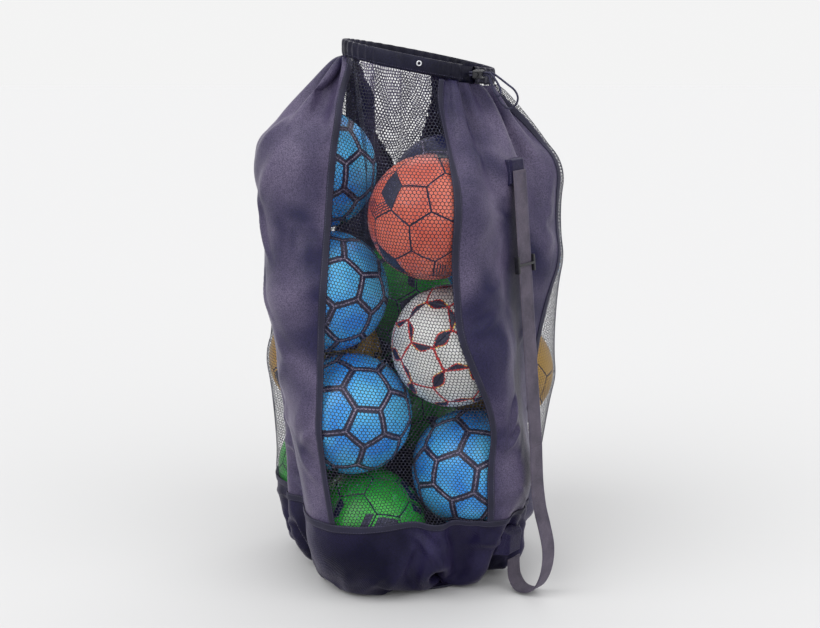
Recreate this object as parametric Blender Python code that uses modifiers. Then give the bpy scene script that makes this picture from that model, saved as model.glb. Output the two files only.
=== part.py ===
"""Mesh ball bag: a drawstring sack of mesh and solid cloth panels, standing full of size 5 balls.

Metres, +Z up. The origin is on the floor under the middle of the bag, and the front faces -Y.
"""

import math

import bmesh
import bpy
from mathutils import Vector

# Balls, and the space that the cloth keeps round them
BALL_R = 0.110
CLOTH_R = 0.1155
BLEND = 0.012

# Bag body
CLOTH = 0.0015
WALL_R = 0.232
FOOT_R = 0.168
FOOT_TOP = 0.10
BASE_THICK = 0.0025
PIPING_R = 0.0025
BOOT_BOTTOM = 0.006
BOOT_TOP = 0.150
SEAM_GAP = 0.0006
BOOT_GAP = 0.0020
SHOULDER = 0.800
PANEL_BOTTOM = BOOT_TOP + BOOT_GAP
COLUMN_STEP = math.radians(7.5)
ROWS = 17
BOOT_ROWS = 4
TAPE_W = 0.014
TAPE_FIRST = 0.018
TAPE_LAST = 0.997
TAPE_LIFT = 0.0040
TAPE_THICK = 0.0010
BOOT_LIFT = 0.0055

# Mouth: a ring that leans to the right, and the casing round it
MOUTH_X = 0.019
MOUTH_R = 0.1345
MOUTH_Z = 0.963
MOUTH_SLOPE = -0.193
HEM_HALF_W = 0.0045
HEM_HALF_H = 0.015
HEM_WALL = 0.001
HEM_STEPS = 24
HEM_OPEN = math.radians(11)
EXIT = math.radians(-50)
CORD_AZ = math.radians(-20)

# Drawcord and its lock
CORD_R = 0.0018
LOCK_START = 0.0125
LOCK_LEN = 0.016
LOCK_H = 0.014
LOCK_W = 0.025
LOCK_HOLE = 0.0096
LOCK_SKIN = 0.0022
POCKET_FLOOR = 0.0015
BUTTON_R = 0.0035
BUTTON_LEN = 0.0075
BUTTON_SEAT = 0.0033
SPRING_R = 0.0024
SPRING_WIRE = 0.0003
SPRING_TURNS = 3
SPRING_PITCH = 0.00063
SPRING_FOOT = 0.0006

# Shoulder strap, in the upright plane at this azimuth
STRAP_AZ = math.radians(-38)
STRAP_W = 0.040
STRAP_T = 0.0020
STRAP_TOP = (0.2465, 0.780)
STRAP_LOW = (0.2925, 0.285)
SLIDER_Z = 0.615
SLIDER_W = 0.052
SLIDER_H = 0.030
SLIDER_BAR = 0.0045
SLIDER_RAIL = 0.0105
PATCH = 0.052
PATCH_T = 0.0022

# Each ball: azimuth in degrees, distance from the middle, height of its centre, colour
BALLS = {
    "ball_upper_left": (191, 0.170, 0.767, "blue"),
    "ball_upper_front": (283, 0.175, 0.700, "orange"),
    "ball_middle_left": (214, 0.175, 0.553, "blue"),
    "ball_middle_front": (297, 0.175, 0.466, "white"),
    "ball_lower_left": (234, 0.174, 0.335, "blue"),
    "ball_lower_right": (314, 0.168, 0.224, "blue"),
    "ball_side_left": (157, 0.175, 0.388, "gold"),
    "ball_side_lower_left": (155, 0.162, 0.167, "green"),
    "ball_side_right": (356, 0.175, 0.605, "blue"),
    "ball_side_lower_right": (13, 0.175, 0.369, "gold"),
    "ball_base_front": (241, 0.155, 0.115, "green"),
    "ball_back_middle": (90, 0.175, 0.494, "green"),
    "ball_back_lower": (84, 0.171, 0.274, "green"),
    "ball_base_back": (27, 0.156, 0.114, "navy"),
    "ball_upper_back": (65, 0.175, 0.702, "navy"),
}

# Panels round the bag: azimuths in degrees and the kind of cloth
PANELS = {
    "front_mesh_panel": (-120.6, -62.4, "mesh"),
    "right_side_panel": (-62.4, -15.0, "solid"),
    "rear_right_mesh_panel": (-15.0, 43.0, "mesh"),
    "back_panel": (43.0, 140.0, "solid"),
    "rear_left_mesh_panel": (140.0, 190.0, "mesh"),
    "left_side_panel": (190.0, 239.4, "solid"),
}
TAPES = {
    "seam_tape_front_right": -62.4,
    "seam_tape_right": -15.0,
    "seam_tape_back_right": 43.0,
    "seam_tape_back_left": 140.0,
    "seam_tape_left": 190.0,
    "seam_tape_front_left": 239.4,
}

COLOURS = {
    "navy_cloth": ((0.030, 0.028, 0.075), 0.55, 0.0),
    "navy_mesh": ((0.020, 0.020, 0.055), 0.80, 0.0),
    "webbing": ((0.085, 0.070, 0.110), 0.75, 0.0),
    "cord": ((0.020, 0.018, 0.035), 0.80, 0.0),
    "black_plastic": ((0.015, 0.015, 0.020), 0.40, 0.0),
    "steel": ((0.550, 0.550, 0.560), 0.30, 1.0),
    "blue": ((0.020, 0.250, 0.750), 0.40, 0.0),
    "orange": ((0.700, 0.130, 0.060), 0.40, 0.0),
    "white": ((0.800, 0.800, 0.820), 0.40, 0.0),
    "gold": ((0.550, 0.320, 0.040), 0.40, 0.0),
    "green": ((0.020, 0.400, 0.050), 0.40, 0.0),
    "navy": ((0.020, 0.025, 0.100), 0.40, 0.0),
}


def clear_scene():
    for ob in list(bpy.data.objects):
        bpy.data.objects.remove(ob, do_unlink=True)


def make_material(name):
    colour, rough, metal = COLOURS[name]
    mat = bpy.data.materials.new(name)
    mat.use_nodes = True
    shader = mat.node_tree.nodes["Principled BSDF"]
    shader.inputs["Base Color"].default_value = (*colour, 1.0)
    shader.inputs["Roughness"].default_value = rough
    shader.inputs["Metallic"].default_value = metal
    return mat


def ball_centre(name):
    azimuth, reach, height, _ = BALLS[name]
    angle = math.radians(azimuth)
    return Vector((reach * math.cos(angle), reach * math.sin(angle), height))


def add_mesh(name, bm, material, smooth=True):
    """A new object in the bag's collection from a bmesh, which it frees."""
    mesh = bpy.data.meshes.new(name)
    bm.to_mesh(mesh)
    bm.free()
    if smooth:
        mesh.shade_smooth()
        mesh.set_sharp_from_angle(angle=math.radians(40))
    ob = bpy.data.objects.new(name, mesh)
    ob.data.materials.append(MATERIALS[material])
    BAG.objects.link(ob)
    return ob


def solidify(ob, thickness, offset=1.0):
    mod = ob.modifiers.new("thickness", "SOLIDIFY")
    mod.thickness = thickness
    mod.offset = offset
    return mod


def boolean(ob, cutter, operation="DIFFERENCE"):
    mod = ob.modifiers.new(operation.lower(), "BOOLEAN")
    mod.operation = operation
    mod.object = cutter
    cutter.hide_render = True
    cutter.display_type = "WIRE"
    for users in list(cutter.users_collection):
        users.objects.unlink(cutter)
    CUTTERS.objects.link(cutter)


# ---------------------------------------------------------------- the bag's shape


def mouth_reach(theta):
    """Distance from the bag's axis to the mouth ring in direction theta."""
    across = MOUTH_X * math.sin(theta)
    return MOUTH_X * math.cos(theta) + math.sqrt(MOUTH_R**2 - across**2)


def mouth_height(theta):
    """Height of the ring's middle line in direction theta."""
    return MOUTH_Z + MOUTH_SLOPE * mouth_reach(theta) * math.cos(theta)


def panel_top(theta):
    return mouth_height(theta) - HEM_HALF_H - SEAM_GAP


def slack_radius(theta, z):
    """Radius of the cloth where no ball pushes it out."""
    if z < FOOT_TOP:
        rise = max(0.0, 1.0 - (1.0 - z / FOOT_TOP) ** 2)
        return FOOT_R + (WALL_R - FOOT_R) * math.sqrt(rise)
    if z < SHOULDER:
        return WALL_R
    t = min(1.0, (z - SHOULDER) / (mouth_height(theta) - SHOULDER))
    fall = t ** (1.6 - 0.3 * math.cos(theta))
    return WALL_R + (mouth_reach(theta) - WALL_R) * fall


def wall_radius(theta, z):
    """Inner radius of the cloth: a smooth maximum of the slack cloth and each ball behind it."""
    reaches = [slack_radius(theta, z)]
    for name in BALLS:
        centre = ball_centre(name)
        along = centre.x * math.cos(theta) + centre.y * math.sin(theta)
        aside = centre.y * math.cos(theta) - centre.x * math.sin(theta)
        half = CLOTH_R**2 - (z - centre.z) ** 2 - aside**2
        if half > 0 and along > 0:
            reaches.append(along + math.sqrt(half))
    top = max(reaches)
    return top + BLEND * math.log(sum(math.exp((r - top) / BLEND) for r in reaches))


def wall_point(theta, z):
    r = wall_radius(theta, z)
    return Vector((r * math.cos(theta), r * math.sin(theta), z))


def wall_grid(start, stop, columns, rows, bottom, top):
    """An open grid on the wall from azimuth start to stop, its faces pointing outwards."""
    bm = bmesh.new()
    bmesh.ops.create_grid(bm, x_segments=columns, y_segments=rows, size=1.0)
    for vert in bm.verts:
        theta = start + (stop - start) * (vert.co.x + 1) / 2
        share = (vert.co.y + 1) / 2
        low, high = bottom(theta), top(theta)
        vert.co = wall_point(theta, low + (high - low) * share)
    return bm


def fixed(value):
    return lambda theta: value


def make_panels():
    half_gap = SEAM_GAP / 2 / WALL_R
    for name, (start, stop, kind) in PANELS.items():
        first, last = math.radians(start) + half_gap, math.radians(stop) - half_gap
        columns = max(2, round((last - first) / COLUMN_STEP))
        bm = wall_grid(first, last, columns, ROWS, fixed(PANEL_BOTTOM), panel_top)
        ob = add_mesh(name, bm, "navy_mesh" if kind == "mesh" else "navy_cloth")
        solidify(ob, CLOTH)


def facet_point(theta, share):
    """A point on the straight edges between the panels' rows, share of the way up a panel."""
    low, high = PANEL_BOTTOM, panel_top(theta)
    row = min(ROWS - 1, int(share * ROWS))
    ends = [wall_point(theta, low + (high - low) * step / ROWS) for step in (row, row + 1)]
    return ends[0].lerp(ends[1], share * ROWS - row)


def tape_grid(middle):
    """A strip over a seam, lying on the flat facets that the panels have there."""
    half = TAPE_W / 2 / WALL_R
    bm = bmesh.new()
    bmesh.ops.create_grid(bm, x_segments=2, y_segments=ROWS, size=1.0)
    for vert in bm.verts:
        share = min(TAPE_LAST, max(TAPE_FIRST, (vert.co.y + 1) / 2))
        near, far = facet_point(middle, share), facet_point(middle + vert.co.x * COLUMN_STEP, share)
        vert.co = near.lerp(far, half / COLUMN_STEP)
    return bm


def make_tapes():
    for name, azimuth in TAPES.items():
        lift(add_mesh(name, tape_grid(math.radians(azimuth)), "webbing"))


def lift(ob, height=TAPE_LIFT):
    """Raises a tape off the cloth that it is sewn to, and gives it its thickness."""
    raised = ob.modifiers.new("lift", "DISPLACE")
    raised.strength = height
    raised.mid_level = 0.0
    solidify(ob, TAPE_THICK)


def full_ring(name, material, rows, bottom, top):
    columns = round(math.tau / COLUMN_STEP)
    bm = wall_grid(0, math.tau, columns, rows, bottom, top)
    bmesh.ops.remove_doubles(bm, verts=bm.verts, dist=0.0001)
    return add_mesh(name, bm, material)


def make_boot():
    solidify(full_ring("boot_band", "navy_cloth", BOOT_ROWS, fixed(BOOT_BOTTOM), fixed(BOOT_TOP)), CLOTH)
    low, high = BOOT_TOP - TAPE_W / 2, BOOT_TOP + TAPE_W / 2
    lift(full_ring("boot_seam_tape", "webbing", 1, fixed(low), fixed(high)), BOOT_LIFT)


def foot_outline(inset):
    count = 48
    for i in range(count):
        theta = math.tau * i / count
        r = wall_radius(theta, BOOT_BOTTOM) - inset
        yield Vector((r * math.cos(theta), r * math.sin(theta), 0))


def make_base():
    curve = bpy.data.curves.new("base_panel", "CURVE")
    curve.dimensions = "2D"
    curve.fill_mode = "BOTH"
    curve.extrude = BASE_THICK / 2
    spline_through(curve, list(foot_outline(2 * PIPING_R + 0.001)), closed=True)
    place_curve(curve, "navy_cloth", z=BASE_THICK / 2)
    piping = [p + Vector((0, 0, PIPING_R + 0.0003)) for p in foot_outline(PIPING_R)]
    tube("base_piping", piping, PIPING_R, "webbing", closed=True)


def spline_through(curve, points, closed=False):
    spline = curve.splines.new("POLY")
    spline.points.add(len(points) - 1)
    for point, place in zip(spline.points, points):
        point.co = (*place, 1.0)
    spline.use_cyclic_u = closed


def place_curve(curve, material, z=0.0):
    ob = bpy.data.objects.new(curve.name, curve)
    ob.location.z = z
    curve.materials.append(MATERIALS[material])
    BAG.objects.link(ob)
    return ob


def tube(name, points, radius, material, closed=False):
    curve = bpy.data.curves.new(name, "CURVE")
    curve.dimensions = "3D"
    curve.bevel_depth = radius
    curve.bevel_resolution = 2
    curve.use_fill_caps = True
    spline_through(curve, points, closed)
    return place_curve(curve, material)


# ---------------------------------------------------------------- mouth and drawcord


def ring_point(theta, out=0.0, up=0.0):
    """A point beside the mouth's middle line, theta about the ring's own centre."""
    x = MOUTH_X + (MOUTH_R + out) * math.cos(theta)
    middle = MOUTH_X + MOUTH_R * math.cos(theta)
    return Vector((x, (MOUTH_R + out) * math.sin(theta), MOUTH_Z + MOUTH_SLOPE * middle + up))


def make_hem():
    """A flat sleeve round the mouth, open where the drawcord comes out."""
    bm = bmesh.new()
    bmesh.ops.create_grid(bm, x_segments=HEM_STEPS, y_segments=8, size=1.0)
    first = EXIT + HEM_OPEN / 2
    for vert in bm.verts:
        theta = first + (math.tau - HEM_OPEN) * (vert.co.x + 1) / 2
        turn = math.pi * (vert.co.y + 1)
        vert.co = ring_point(theta, -HEM_HALF_W * math.cos(turn), -HEM_HALF_H * math.sin(turn))
    bmesh.ops.remove_doubles(bm, verts=bm.verts, dist=0.00005)
    bmesh.ops.recalc_face_normals(bm, faces=bm.faces)
    solidify(add_mesh("hem_casing", bm, "navy_cloth"), HEM_WALL, offset=-1.0)


def make_drawcord():
    first, count = EXIT + HEM_OPEN / 2, 33
    turn = (math.tau - HEM_OPEN) / (count - 1)
    ring = [ring_point(first + turn * i) for i in range(count)]
    tube("drawcord", ring, CORD_R, "cord")


def exit_point(out, aside=0.0, up=0.0):
    """A point outside the casing's opening: out along the way the cords leave, aside across it."""
    outward = Vector((math.cos(CORD_AZ), math.sin(CORD_AZ), 0))
    sideways = Vector((-math.sin(CORD_AZ), math.cos(CORD_AZ), 0))
    return ring_point(EXIT) + outward * out + sideways * aside + Vector((0, 0, up))


def smooth_route(points, steps):
    """Catmull-Rom curve through the points, with steps short pieces between each two."""
    route = []
    padded = [points[0] * 2 - points[1], *points, points[-1] * 2 - points[-2]]
    for i in range(1, len(padded) - 2):
        a, b, c, d = padded[i - 1 : i + 3]
        for step in range(steps):
            t = step / steps
            route.append(
                0.5 * (2 * b + (c - a) * t + (2 * a - 5 * b + 4 * c - d) * t**2 + (3 * b - a - 3 * c + d) * t**3)
            )
    return [*route, points[-1]]


# The loops' routes from the exit: out, aside and up, in metres
BIG_LOOP = (
    (0.0025, 0.0024, 0.0024),
    (0.0200, 0.0024, 0.0024),
    (0.0370, 0.0024, 0.0024),
    (0.0430, 0.0027, 0.0020),
    (0.0540, 0.0035, -0.0050),
    (0.0690, 0.0045, -0.0160),
    (0.0830, 0.0055, -0.0270),
    (0.0890, 0.0060, -0.0400),
    (0.0850, 0.0055, -0.0530),
    (0.0740, 0.0050, -0.0590),
    (0.0620, 0.0050, -0.0520),
    (0.0510, 0.0040, -0.0360),
    (0.0425, 0.0030, -0.0160),
    (0.0370, 0.0024, -0.0024),
    (0.0200, 0.0024, -0.0024),
    (0.0025, 0.0024, -0.0024),
)
SMALL_LOOP = (
    (0.0025, -0.0024, 0.0024),
    (0.0200, -0.0024, 0.0024),
    (0.0370, -0.0024, 0.0024),
    (0.0440, -0.0035, -0.0010),
    (0.0550, -0.0060, -0.0140),
    (0.0620, -0.0080, -0.0270),
    (0.0600, -0.0085, -0.0360),
    (0.0530, -0.0075, -0.0330),
    (0.0470, -0.0055, -0.0230),
    (0.0415, -0.0035, -0.0120),
    (0.0370, -0.0024, -0.0024),
    (0.0200, -0.0024, -0.0024),
    (0.0025, -0.0024, -0.0024),
)


def make_cord_loops():
    for name, route in (("drawcord_big_loop", BIG_LOOP), ("drawcord_small_loop", SMALL_LOOP)):
        points = [exit_point(*place) for place in route]
        tube(name, smooth_route(points, 3), CORD_R, "cord")


def box(name, size, centre, turn, material, bevel=0.0):
    bm = bmesh.new()
    bmesh.ops.create_cube(bm, size=1.0)
    bmesh.ops.scale(bm, vec=size, verts=bm.verts)
    ob = add_mesh(name, bm, material, smooth=False)
    ob.location = centre
    ob.rotation_euler.z = turn
    if bevel:
        mod = ob.modifiers.new("rounding", "BEVEL")
        mod.width = bevel
        mod.segments = 2
    return ob


def rod(name, radius, length, centre, turn, material):
    """A round bar lying along the ring's tangent at the cord's exit."""
    bm = bmesh.new()
    bmesh.ops.create_cone(bm, cap_ends=True, segments=20, radius1=radius, radius2=radius, depth=length)
    bmesh.ops.rotate(bm, matrix=turn_to_side(), verts=bm.verts)
    ob = add_mesh(name, bm, material)
    ob.location = centre
    ob.rotation_euler.z = turn
    return ob


def turn_to_side():
    return Vector((0, 0, 1)).rotation_difference(Vector((0, 1, 0))).to_matrix()


def make_cord_lock():
    """A spring lock on the cords: they run through its body, and a side button frees them."""
    middle = LOCK_START + LOCK_LEN / 2
    body_size = Vector((LOCK_LEN, LOCK_W, LOCK_H))
    body_aside = LOCK_HOLE / 2 + LOCK_SKIN - LOCK_W / 2
    body = box("cord_lock_body", body_size, exit_point(middle, body_aside), CORD_AZ, "black_plastic", 0.002)
    hole_size = Vector((LOCK_LEN * 2, LOCK_HOLE, LOCK_HOLE))
    boolean(body, box("cord_lock_hole", hole_size, exit_point(middle), CORD_AZ, "black_plastic"))
    side = body_aside - LOCK_W / 2
    pocket_end = -LOCK_HOLE / 2 - POCKET_FLOOR
    pocket = rod(
        "cord_lock_pocket",
        BUTTON_R + 0.0004,
        2 * (pocket_end - side),
        exit_point(middle, side),
        CORD_AZ,
        "black_plastic",
    )
    boolean(body, pocket)
    reach = side + BUTTON_SEAT - BUTTON_LEN / 2
    rod("cord_lock_button", BUTTON_R, BUTTON_LEN, exit_point(middle, reach), CORD_AZ, "black_plastic")
    coils = []
    for i in range(SPRING_TURNS * 8 + 1):
        angle = math.tau * i / 8
        rise = pocket_end - SPRING_FOOT - SPRING_PITCH * i / 8
        lean = SPRING_R * math.sin(angle)
        coils.append(exit_point(middle + SPRING_R * math.cos(angle), rise, lean))
    spring = tube("cord_lock_spring", coils, SPRING_WIRE, "steel")
    spring.data.bevel_resolution = 1


def make_eyelet():
    """A small eyelet on the front of the casing."""
    bpy.ops.mesh.primitive_torus_add(
        major_radius=0.004,
        minor_radius=0.0009,
        major_segments=20,
        minor_segments=6,
        location=ring_point(math.radians(-90), HEM_HALF_W + 0.0014, 0.003),
        rotation=(math.radians(90), 0, 0),
    )
    ob = bpy.context.object
    ob.name = ob.data.name = "hem_eyelet"
    ob.data.materials.append(MATERIALS["steel"])
    for users in list(ob.users_collection):
        users.objects.unlink(ob)
    BAG.objects.link(ob)


# ---------------------------------------------------------------- shoulder strap


def strap_point(reach, z, aside=0.0):
    """A point in the strap's upright plane, or beside it along the webbing's width."""
    outward = Vector((math.cos(STRAP_AZ), math.sin(STRAP_AZ), 0))
    sideways = Vector((-math.sin(STRAP_AZ), math.cos(STRAP_AZ), 0))
    return outward * reach + sideways * aside + Vector((0, 0, z))


def webbing(name, line):
    """A flat strap along a line of (reach, height) points."""
    bm = bmesh.new()
    rows = [[bm.verts.new(strap_point(r, z, side * STRAP_W / 2)) for side in (-1, 1)] for r, z in line]
    for one, two in zip(rows, rows[1:]):
        bm.faces.new((two[0], two[1], one[1], one[0]))
    bmesh.ops.recalc_face_normals(bm, faces=bm.faces)
    solidify(add_mesh(name, bm, "webbing"), STRAP_T, offset=0.0)


# The slack lower end of the strap: reach and height
STRAP_LOOP = (
    (0.2927, 0.2820),
    (0.2945, 0.2500),
    (0.2975, 0.2100),
    (0.3040, 0.1700),
    (0.3150, 0.1330),
    (0.3230, 0.1000),
    (0.3230, 0.0700),
    (0.3160, 0.0400),
    (0.3020, 0.0160),
    (0.2830, 0.0060),
    (0.2640, 0.0085),
    (0.2520, 0.0240),
    (0.2485, 0.0450),
    (0.2490, 0.0620),
)


def make_strap():
    webbing("strap_webbing", [STRAP_TOP, STRAP_LOW])
    loop = smooth_route([Vector((r, z, 0)) for r, z in STRAP_LOOP], 3)
    webbing("strap_loop", [(p.x, p.y) for p in loop])


def strap_lean():
    """Angle of the taut webbing from upright, outwards at the bottom."""
    return math.atan2(STRAP_LOW[0] - STRAP_TOP[0], STRAP_TOP[1] - STRAP_LOW[1])


def strap_piece(name, size, reach, z, material, lean=0.0, aside=0.0):
    ob = box(name, Vector(size), strap_point(reach, z, aside), 0, material)
    ob.rotation_euler = (0, -lean, STRAP_AZ)
    return ob


def make_slider():
    """A three-bar slider: two bars behind the webbing and one in front, between side rails."""
    share = (STRAP_TOP[1] - SLIDER_Z) / (STRAP_TOP[1] - STRAP_LOW[1])
    reach = STRAP_TOP[0] + share * (STRAP_LOW[0] - STRAP_TOP[0])
    lean = strap_lean()
    gap = STRAP_T / 2 + SLIDER_BAR / 2 + 0.0006
    rail = (SLIDER_RAIL, SLIDER_BAR, SLIDER_H)
    side = SLIDER_W / 2 - SLIDER_BAR / 2
    ob = strap_piece("strap_slider", rail, reach, SLIDER_Z, "black_plastic", lean, side)
    bar = (SLIDER_BAR, SLIDER_W, SLIDER_BAR)
    rise = SLIDER_H / 2 - SLIDER_BAR / 2
    pieces = [strap_piece("slider_rail", rail, reach, SLIDER_Z, "black_plastic", lean, -side)]
    for out, up in ((-gap, rise), (-gap, -rise), (gap, 0.0)):
        r = reach + out * math.cos(lean) - up * math.sin(lean)
        z = SLIDER_Z + up * math.cos(lean) + out * math.sin(lean)
        pieces.append(strap_piece("slider_bar", bar, r, z, "black_plastic", lean))
    for piece in pieces:
        boolean(ob, piece, "UNION")


def make_patches():
    """The cloth squares that the strap's ends are sewn to."""
    for name, reach, z, lean in (
        ("strap_top_patch", STRAP_TOP[0] - 0.0060, STRAP_TOP[1] + 0.0050, 0.10),
        ("strap_bottom_patch", 0.2500, 0.0900, -0.10),
    ):
        strap_piece(name, (PATCH_T, PATCH, PATCH), reach, z, "navy_cloth", lean)


# ---------------------------------------------------------------- balls


def make_balls():
    for name, (_, _, _, colour) in BALLS.items():
        bm = bmesh.new()
        bmesh.ops.create_icosphere(bm, subdivisions=3, radius=BALL_R)
        ob = add_mesh(name, bm, colour)
        ob.location = ball_centre(name)


clear_scene()
BAG = bpy.data.collections.new("mesh_ball_bag")
CUTTERS = bpy.data.collections.new("cutters")
bpy.context.scene.collection.children.link(BAG)
bpy.context.scene.collection.children.link(CUTTERS)
MATERIALS = {name: make_material(name) for name in COLOURS}

make_base()
make_boot()
make_panels()
make_tapes()
make_hem()
make_drawcord()
make_eyelet()
make_cord_loops()
make_cord_lock()
make_strap()
make_slider()
make_patches()
make_balls()
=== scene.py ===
"""Mesh ball bag: a tall drawstring bag of navy nylon and netting, full of footballs."""

import math
from functools import partial

import bpy
import numpy as np
from mathutils import Matrix, Vector


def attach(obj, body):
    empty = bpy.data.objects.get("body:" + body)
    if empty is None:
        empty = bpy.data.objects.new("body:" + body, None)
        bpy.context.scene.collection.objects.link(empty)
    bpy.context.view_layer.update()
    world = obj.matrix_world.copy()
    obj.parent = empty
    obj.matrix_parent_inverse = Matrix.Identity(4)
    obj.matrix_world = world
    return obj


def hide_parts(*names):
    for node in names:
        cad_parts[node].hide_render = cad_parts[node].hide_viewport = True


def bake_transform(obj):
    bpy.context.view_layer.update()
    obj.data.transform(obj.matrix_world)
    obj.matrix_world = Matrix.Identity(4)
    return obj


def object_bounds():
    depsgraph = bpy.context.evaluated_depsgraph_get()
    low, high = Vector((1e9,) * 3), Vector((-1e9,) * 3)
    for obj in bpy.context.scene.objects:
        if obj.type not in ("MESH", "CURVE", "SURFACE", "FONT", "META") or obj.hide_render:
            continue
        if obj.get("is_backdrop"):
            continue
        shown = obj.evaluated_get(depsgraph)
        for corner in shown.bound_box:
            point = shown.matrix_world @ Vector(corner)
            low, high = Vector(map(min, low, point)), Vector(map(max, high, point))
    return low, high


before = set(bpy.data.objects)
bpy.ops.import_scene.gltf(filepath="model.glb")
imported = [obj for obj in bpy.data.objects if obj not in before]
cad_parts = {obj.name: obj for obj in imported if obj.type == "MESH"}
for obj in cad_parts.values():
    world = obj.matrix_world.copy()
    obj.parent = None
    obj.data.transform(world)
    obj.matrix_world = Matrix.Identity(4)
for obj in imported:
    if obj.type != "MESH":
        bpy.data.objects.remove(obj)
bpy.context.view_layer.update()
scene = bpy.context.scene

# ---------------------------------------------------------------- the shape, as in part.py, in metres and degrees

BALL_R = 0.110
WALL_R, FOOT_R, FOOT_TOP, SHOULDER = 0.232, 0.168, 0.10, 0.800
BOOT_BOTTOM, BOOT_TOP = 0.006, 0.150
MOUTH_X, MOUTH_R, MOUTH_Z, MOUTH_SLOPE = 0.019, 0.1345, 0.963, -0.193
HEM_HALF_W, HEM_HALF_H = 0.0045, 0.015
EXIT, CORD_AZ = -50.0, -20.0
CORD_R = 0.0018
STRAP_AZ, STRAP_W, STRAP_T = -38.0, 0.040, 0.0020
STRAP_TOP, STRAP_LOW = (0.2465, 0.780), (0.2925, 0.285)

BALLS = {
    "ball_upper_left": (191, 0.170, 0.767, "blue"), "ball_upper_front": (283, 0.175, 0.700, "orange"),
    "ball_middle_left": (214, 0.175, 0.553, "blue"), "ball_middle_front": (297, 0.175, 0.466, "white"),
    "ball_lower_left": (234, 0.174, 0.335, "blue"), "ball_lower_right": (314, 0.168, 0.224, "blue"),
    "ball_side_left": (157, 0.175, 0.388, "gold"), "ball_side_lower_left": (155, 0.162, 0.167, "green"),
    "ball_side_right": (356, 0.175, 0.605, "blue"), "ball_side_lower_right": (13, 0.175, 0.369, "gold"),
    "ball_base_front": (241, 0.155, 0.115, "green"), "ball_back_middle": (90, 0.175, 0.494, "green"),
    "ball_back_lower": (84, 0.171, 0.274, "green"), "ball_base_back": (27, 0.156, 0.114, "navy"),
    "ball_upper_back": (65, 0.175, 0.702, "navy")
}
PANELS = {
    "front_mesh_panel": (-120.6, -62.4, "net"), "right_side_panel": (-62.4, -15.0, "cloth"),
    "rear_right_mesh_panel": (-15.0, 43.0, "net"), "back_panel": (43.0, 140.0, "cloth"),
    "rear_left_mesh_panel": (140.0, 190.0, "net"), "left_side_panel": (190.0, 239.4, "cloth")
}
TAPES = {
    "seam_tape_front_right": -62.4, "seam_tape_right": -15.0, "seam_tape_back_right": 43.0,
    "seam_tape_back_left": 140.0, "seam_tape_left": 190.0, "seam_tape_front_left": 239.4
}


def ball_centre(name):
    azimuth, reach, z, _ = BALLS[name]
    a = math.radians(azimuth)
    return np.array((reach * math.cos(a), reach * math.sin(a), z))


CENTRES = np.array([ball_centre(n) for n in BALLS])
# Places where the wall stands proud with no ball behind it: middle and radius
POCKETS = ((np.array((0.205, 0.020, 0.742)), 0.085), (np.array((0.126, -0.0985, 0.757)), 0.079))
# The most that the wall reaches out at each height: heights, then reaches
WIDEST = (
    (0.006, 0.012, 0.02, 0.03, 0.045, 0.06, 0.085, 0.115, 0.16, 0.20),
    (0.178, 0.204, 0.220, 0.234, 0.248, 0.258, 0.270, 0.276, 0.286, 0.2925)
)


def unit(v):
    v = np.asarray(v, float)
    return v / np.maximum(np.linalg.norm(v, axis=-1, keepdims=True), 1e-12)


def outward(azimuth):
    a = math.radians(azimuth)
    return np.array((math.cos(a), math.sin(a), 0.0))


def sideways(azimuth):
    a = math.radians(azimuth)
    return np.array((-math.sin(a), math.cos(a), 0.0))


def ring_point(azimuth, out=0.0, up=0.0):
    """A point beside the mouth's ring. The azimuth may be an array."""
    a = np.radians(azimuth)
    c, s = np.cos(a), np.sin(a)
    return np.stack(
        (MOUTH_X + (MOUTH_R + out) * c, (MOUTH_R + out) * s, MOUTH_Z + MOUTH_SLOPE * (MOUTH_X + MOUTH_R * c) + up),
        axis=-1
    )


def exit_point(out, aside, up):
    return ring_point(EXIT) + outward(CORD_AZ) * out + sideways(CORD_AZ) * aside + np.array((0, 0, up))


def strap_point(reach, z, aside=0.0):
    return outward(STRAP_AZ) * reach + sideways(STRAP_AZ) * aside + np.array((0, 0, z))


def smooth_route(points, steps):
    """A Catmull-Rom curve through the points, as an array."""
    p = np.array(points, float)
    p = np.vstack((2 * p[0] - p[1], p, 2 * p[-1] - p[-2]))
    out = []
    for i in range(1, len(p) - 2):
        for k in range(steps):
            t = k / steps
            out.append(
                0.5 * (
                    2 * p[i] + (p[i + 1] - p[i - 1]) * t
                    + (2 * p[i - 1] - 5 * p[i] + 4 * p[i + 1] - p[i + 2]) * t * t
                    + (3 * p[i] - p[i - 1] - 3 * p[i + 1] + p[i + 2]) * t**3
                )
            )
    out.append(p[-2])
    return np.array(out)


# ---------------------------------------------------------------- camera, floor and light

camera = bpy.data.objects.new("camera", bpy.data.cameras.new("camera"))
scene.collection.objects.link(camera)
scene.camera = camera
AIM, DISTANCE, LOOKING_DOWN = Vector((0.0, 0.0, 0.47)), 2.75, math.radians(13)
towards = Vector((0.0, -math.cos(LOOKING_DOWN), math.sin(LOOKING_DOWN)))
camera.location = AIM + towards * DISTANCE
camera.rotation_mode = "QUATERNION"
camera.rotation_quaternion = towards.to_track_quat("Z", "Y")
camera.data.sensor_width = 36.0
camera.data.lens = 63.790244
camera.data.shift_x, camera.data.shift_y = 0.0024390, 0.0117073
camera.data.clip_start, camera.data.clip_end = 0.05, 60.0


def shader(material, kind):
    return material.node_tree.nodes.new(kind)


def new_material(name):
    m = bpy.data.materials.new(name)
    m.use_nodes = True
    m.node_tree.nodes.clear()
    out = shader(m, "ShaderNodeOutputMaterial")
    bsdf = shader(m, "ShaderNodeBsdfPrincipled")
    m.node_tree.links.new(bsdf.outputs[0], out.inputs[0])
    return m, bsdf


def link(m, a, b):
    m.node_tree.links.new(a, b)


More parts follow.
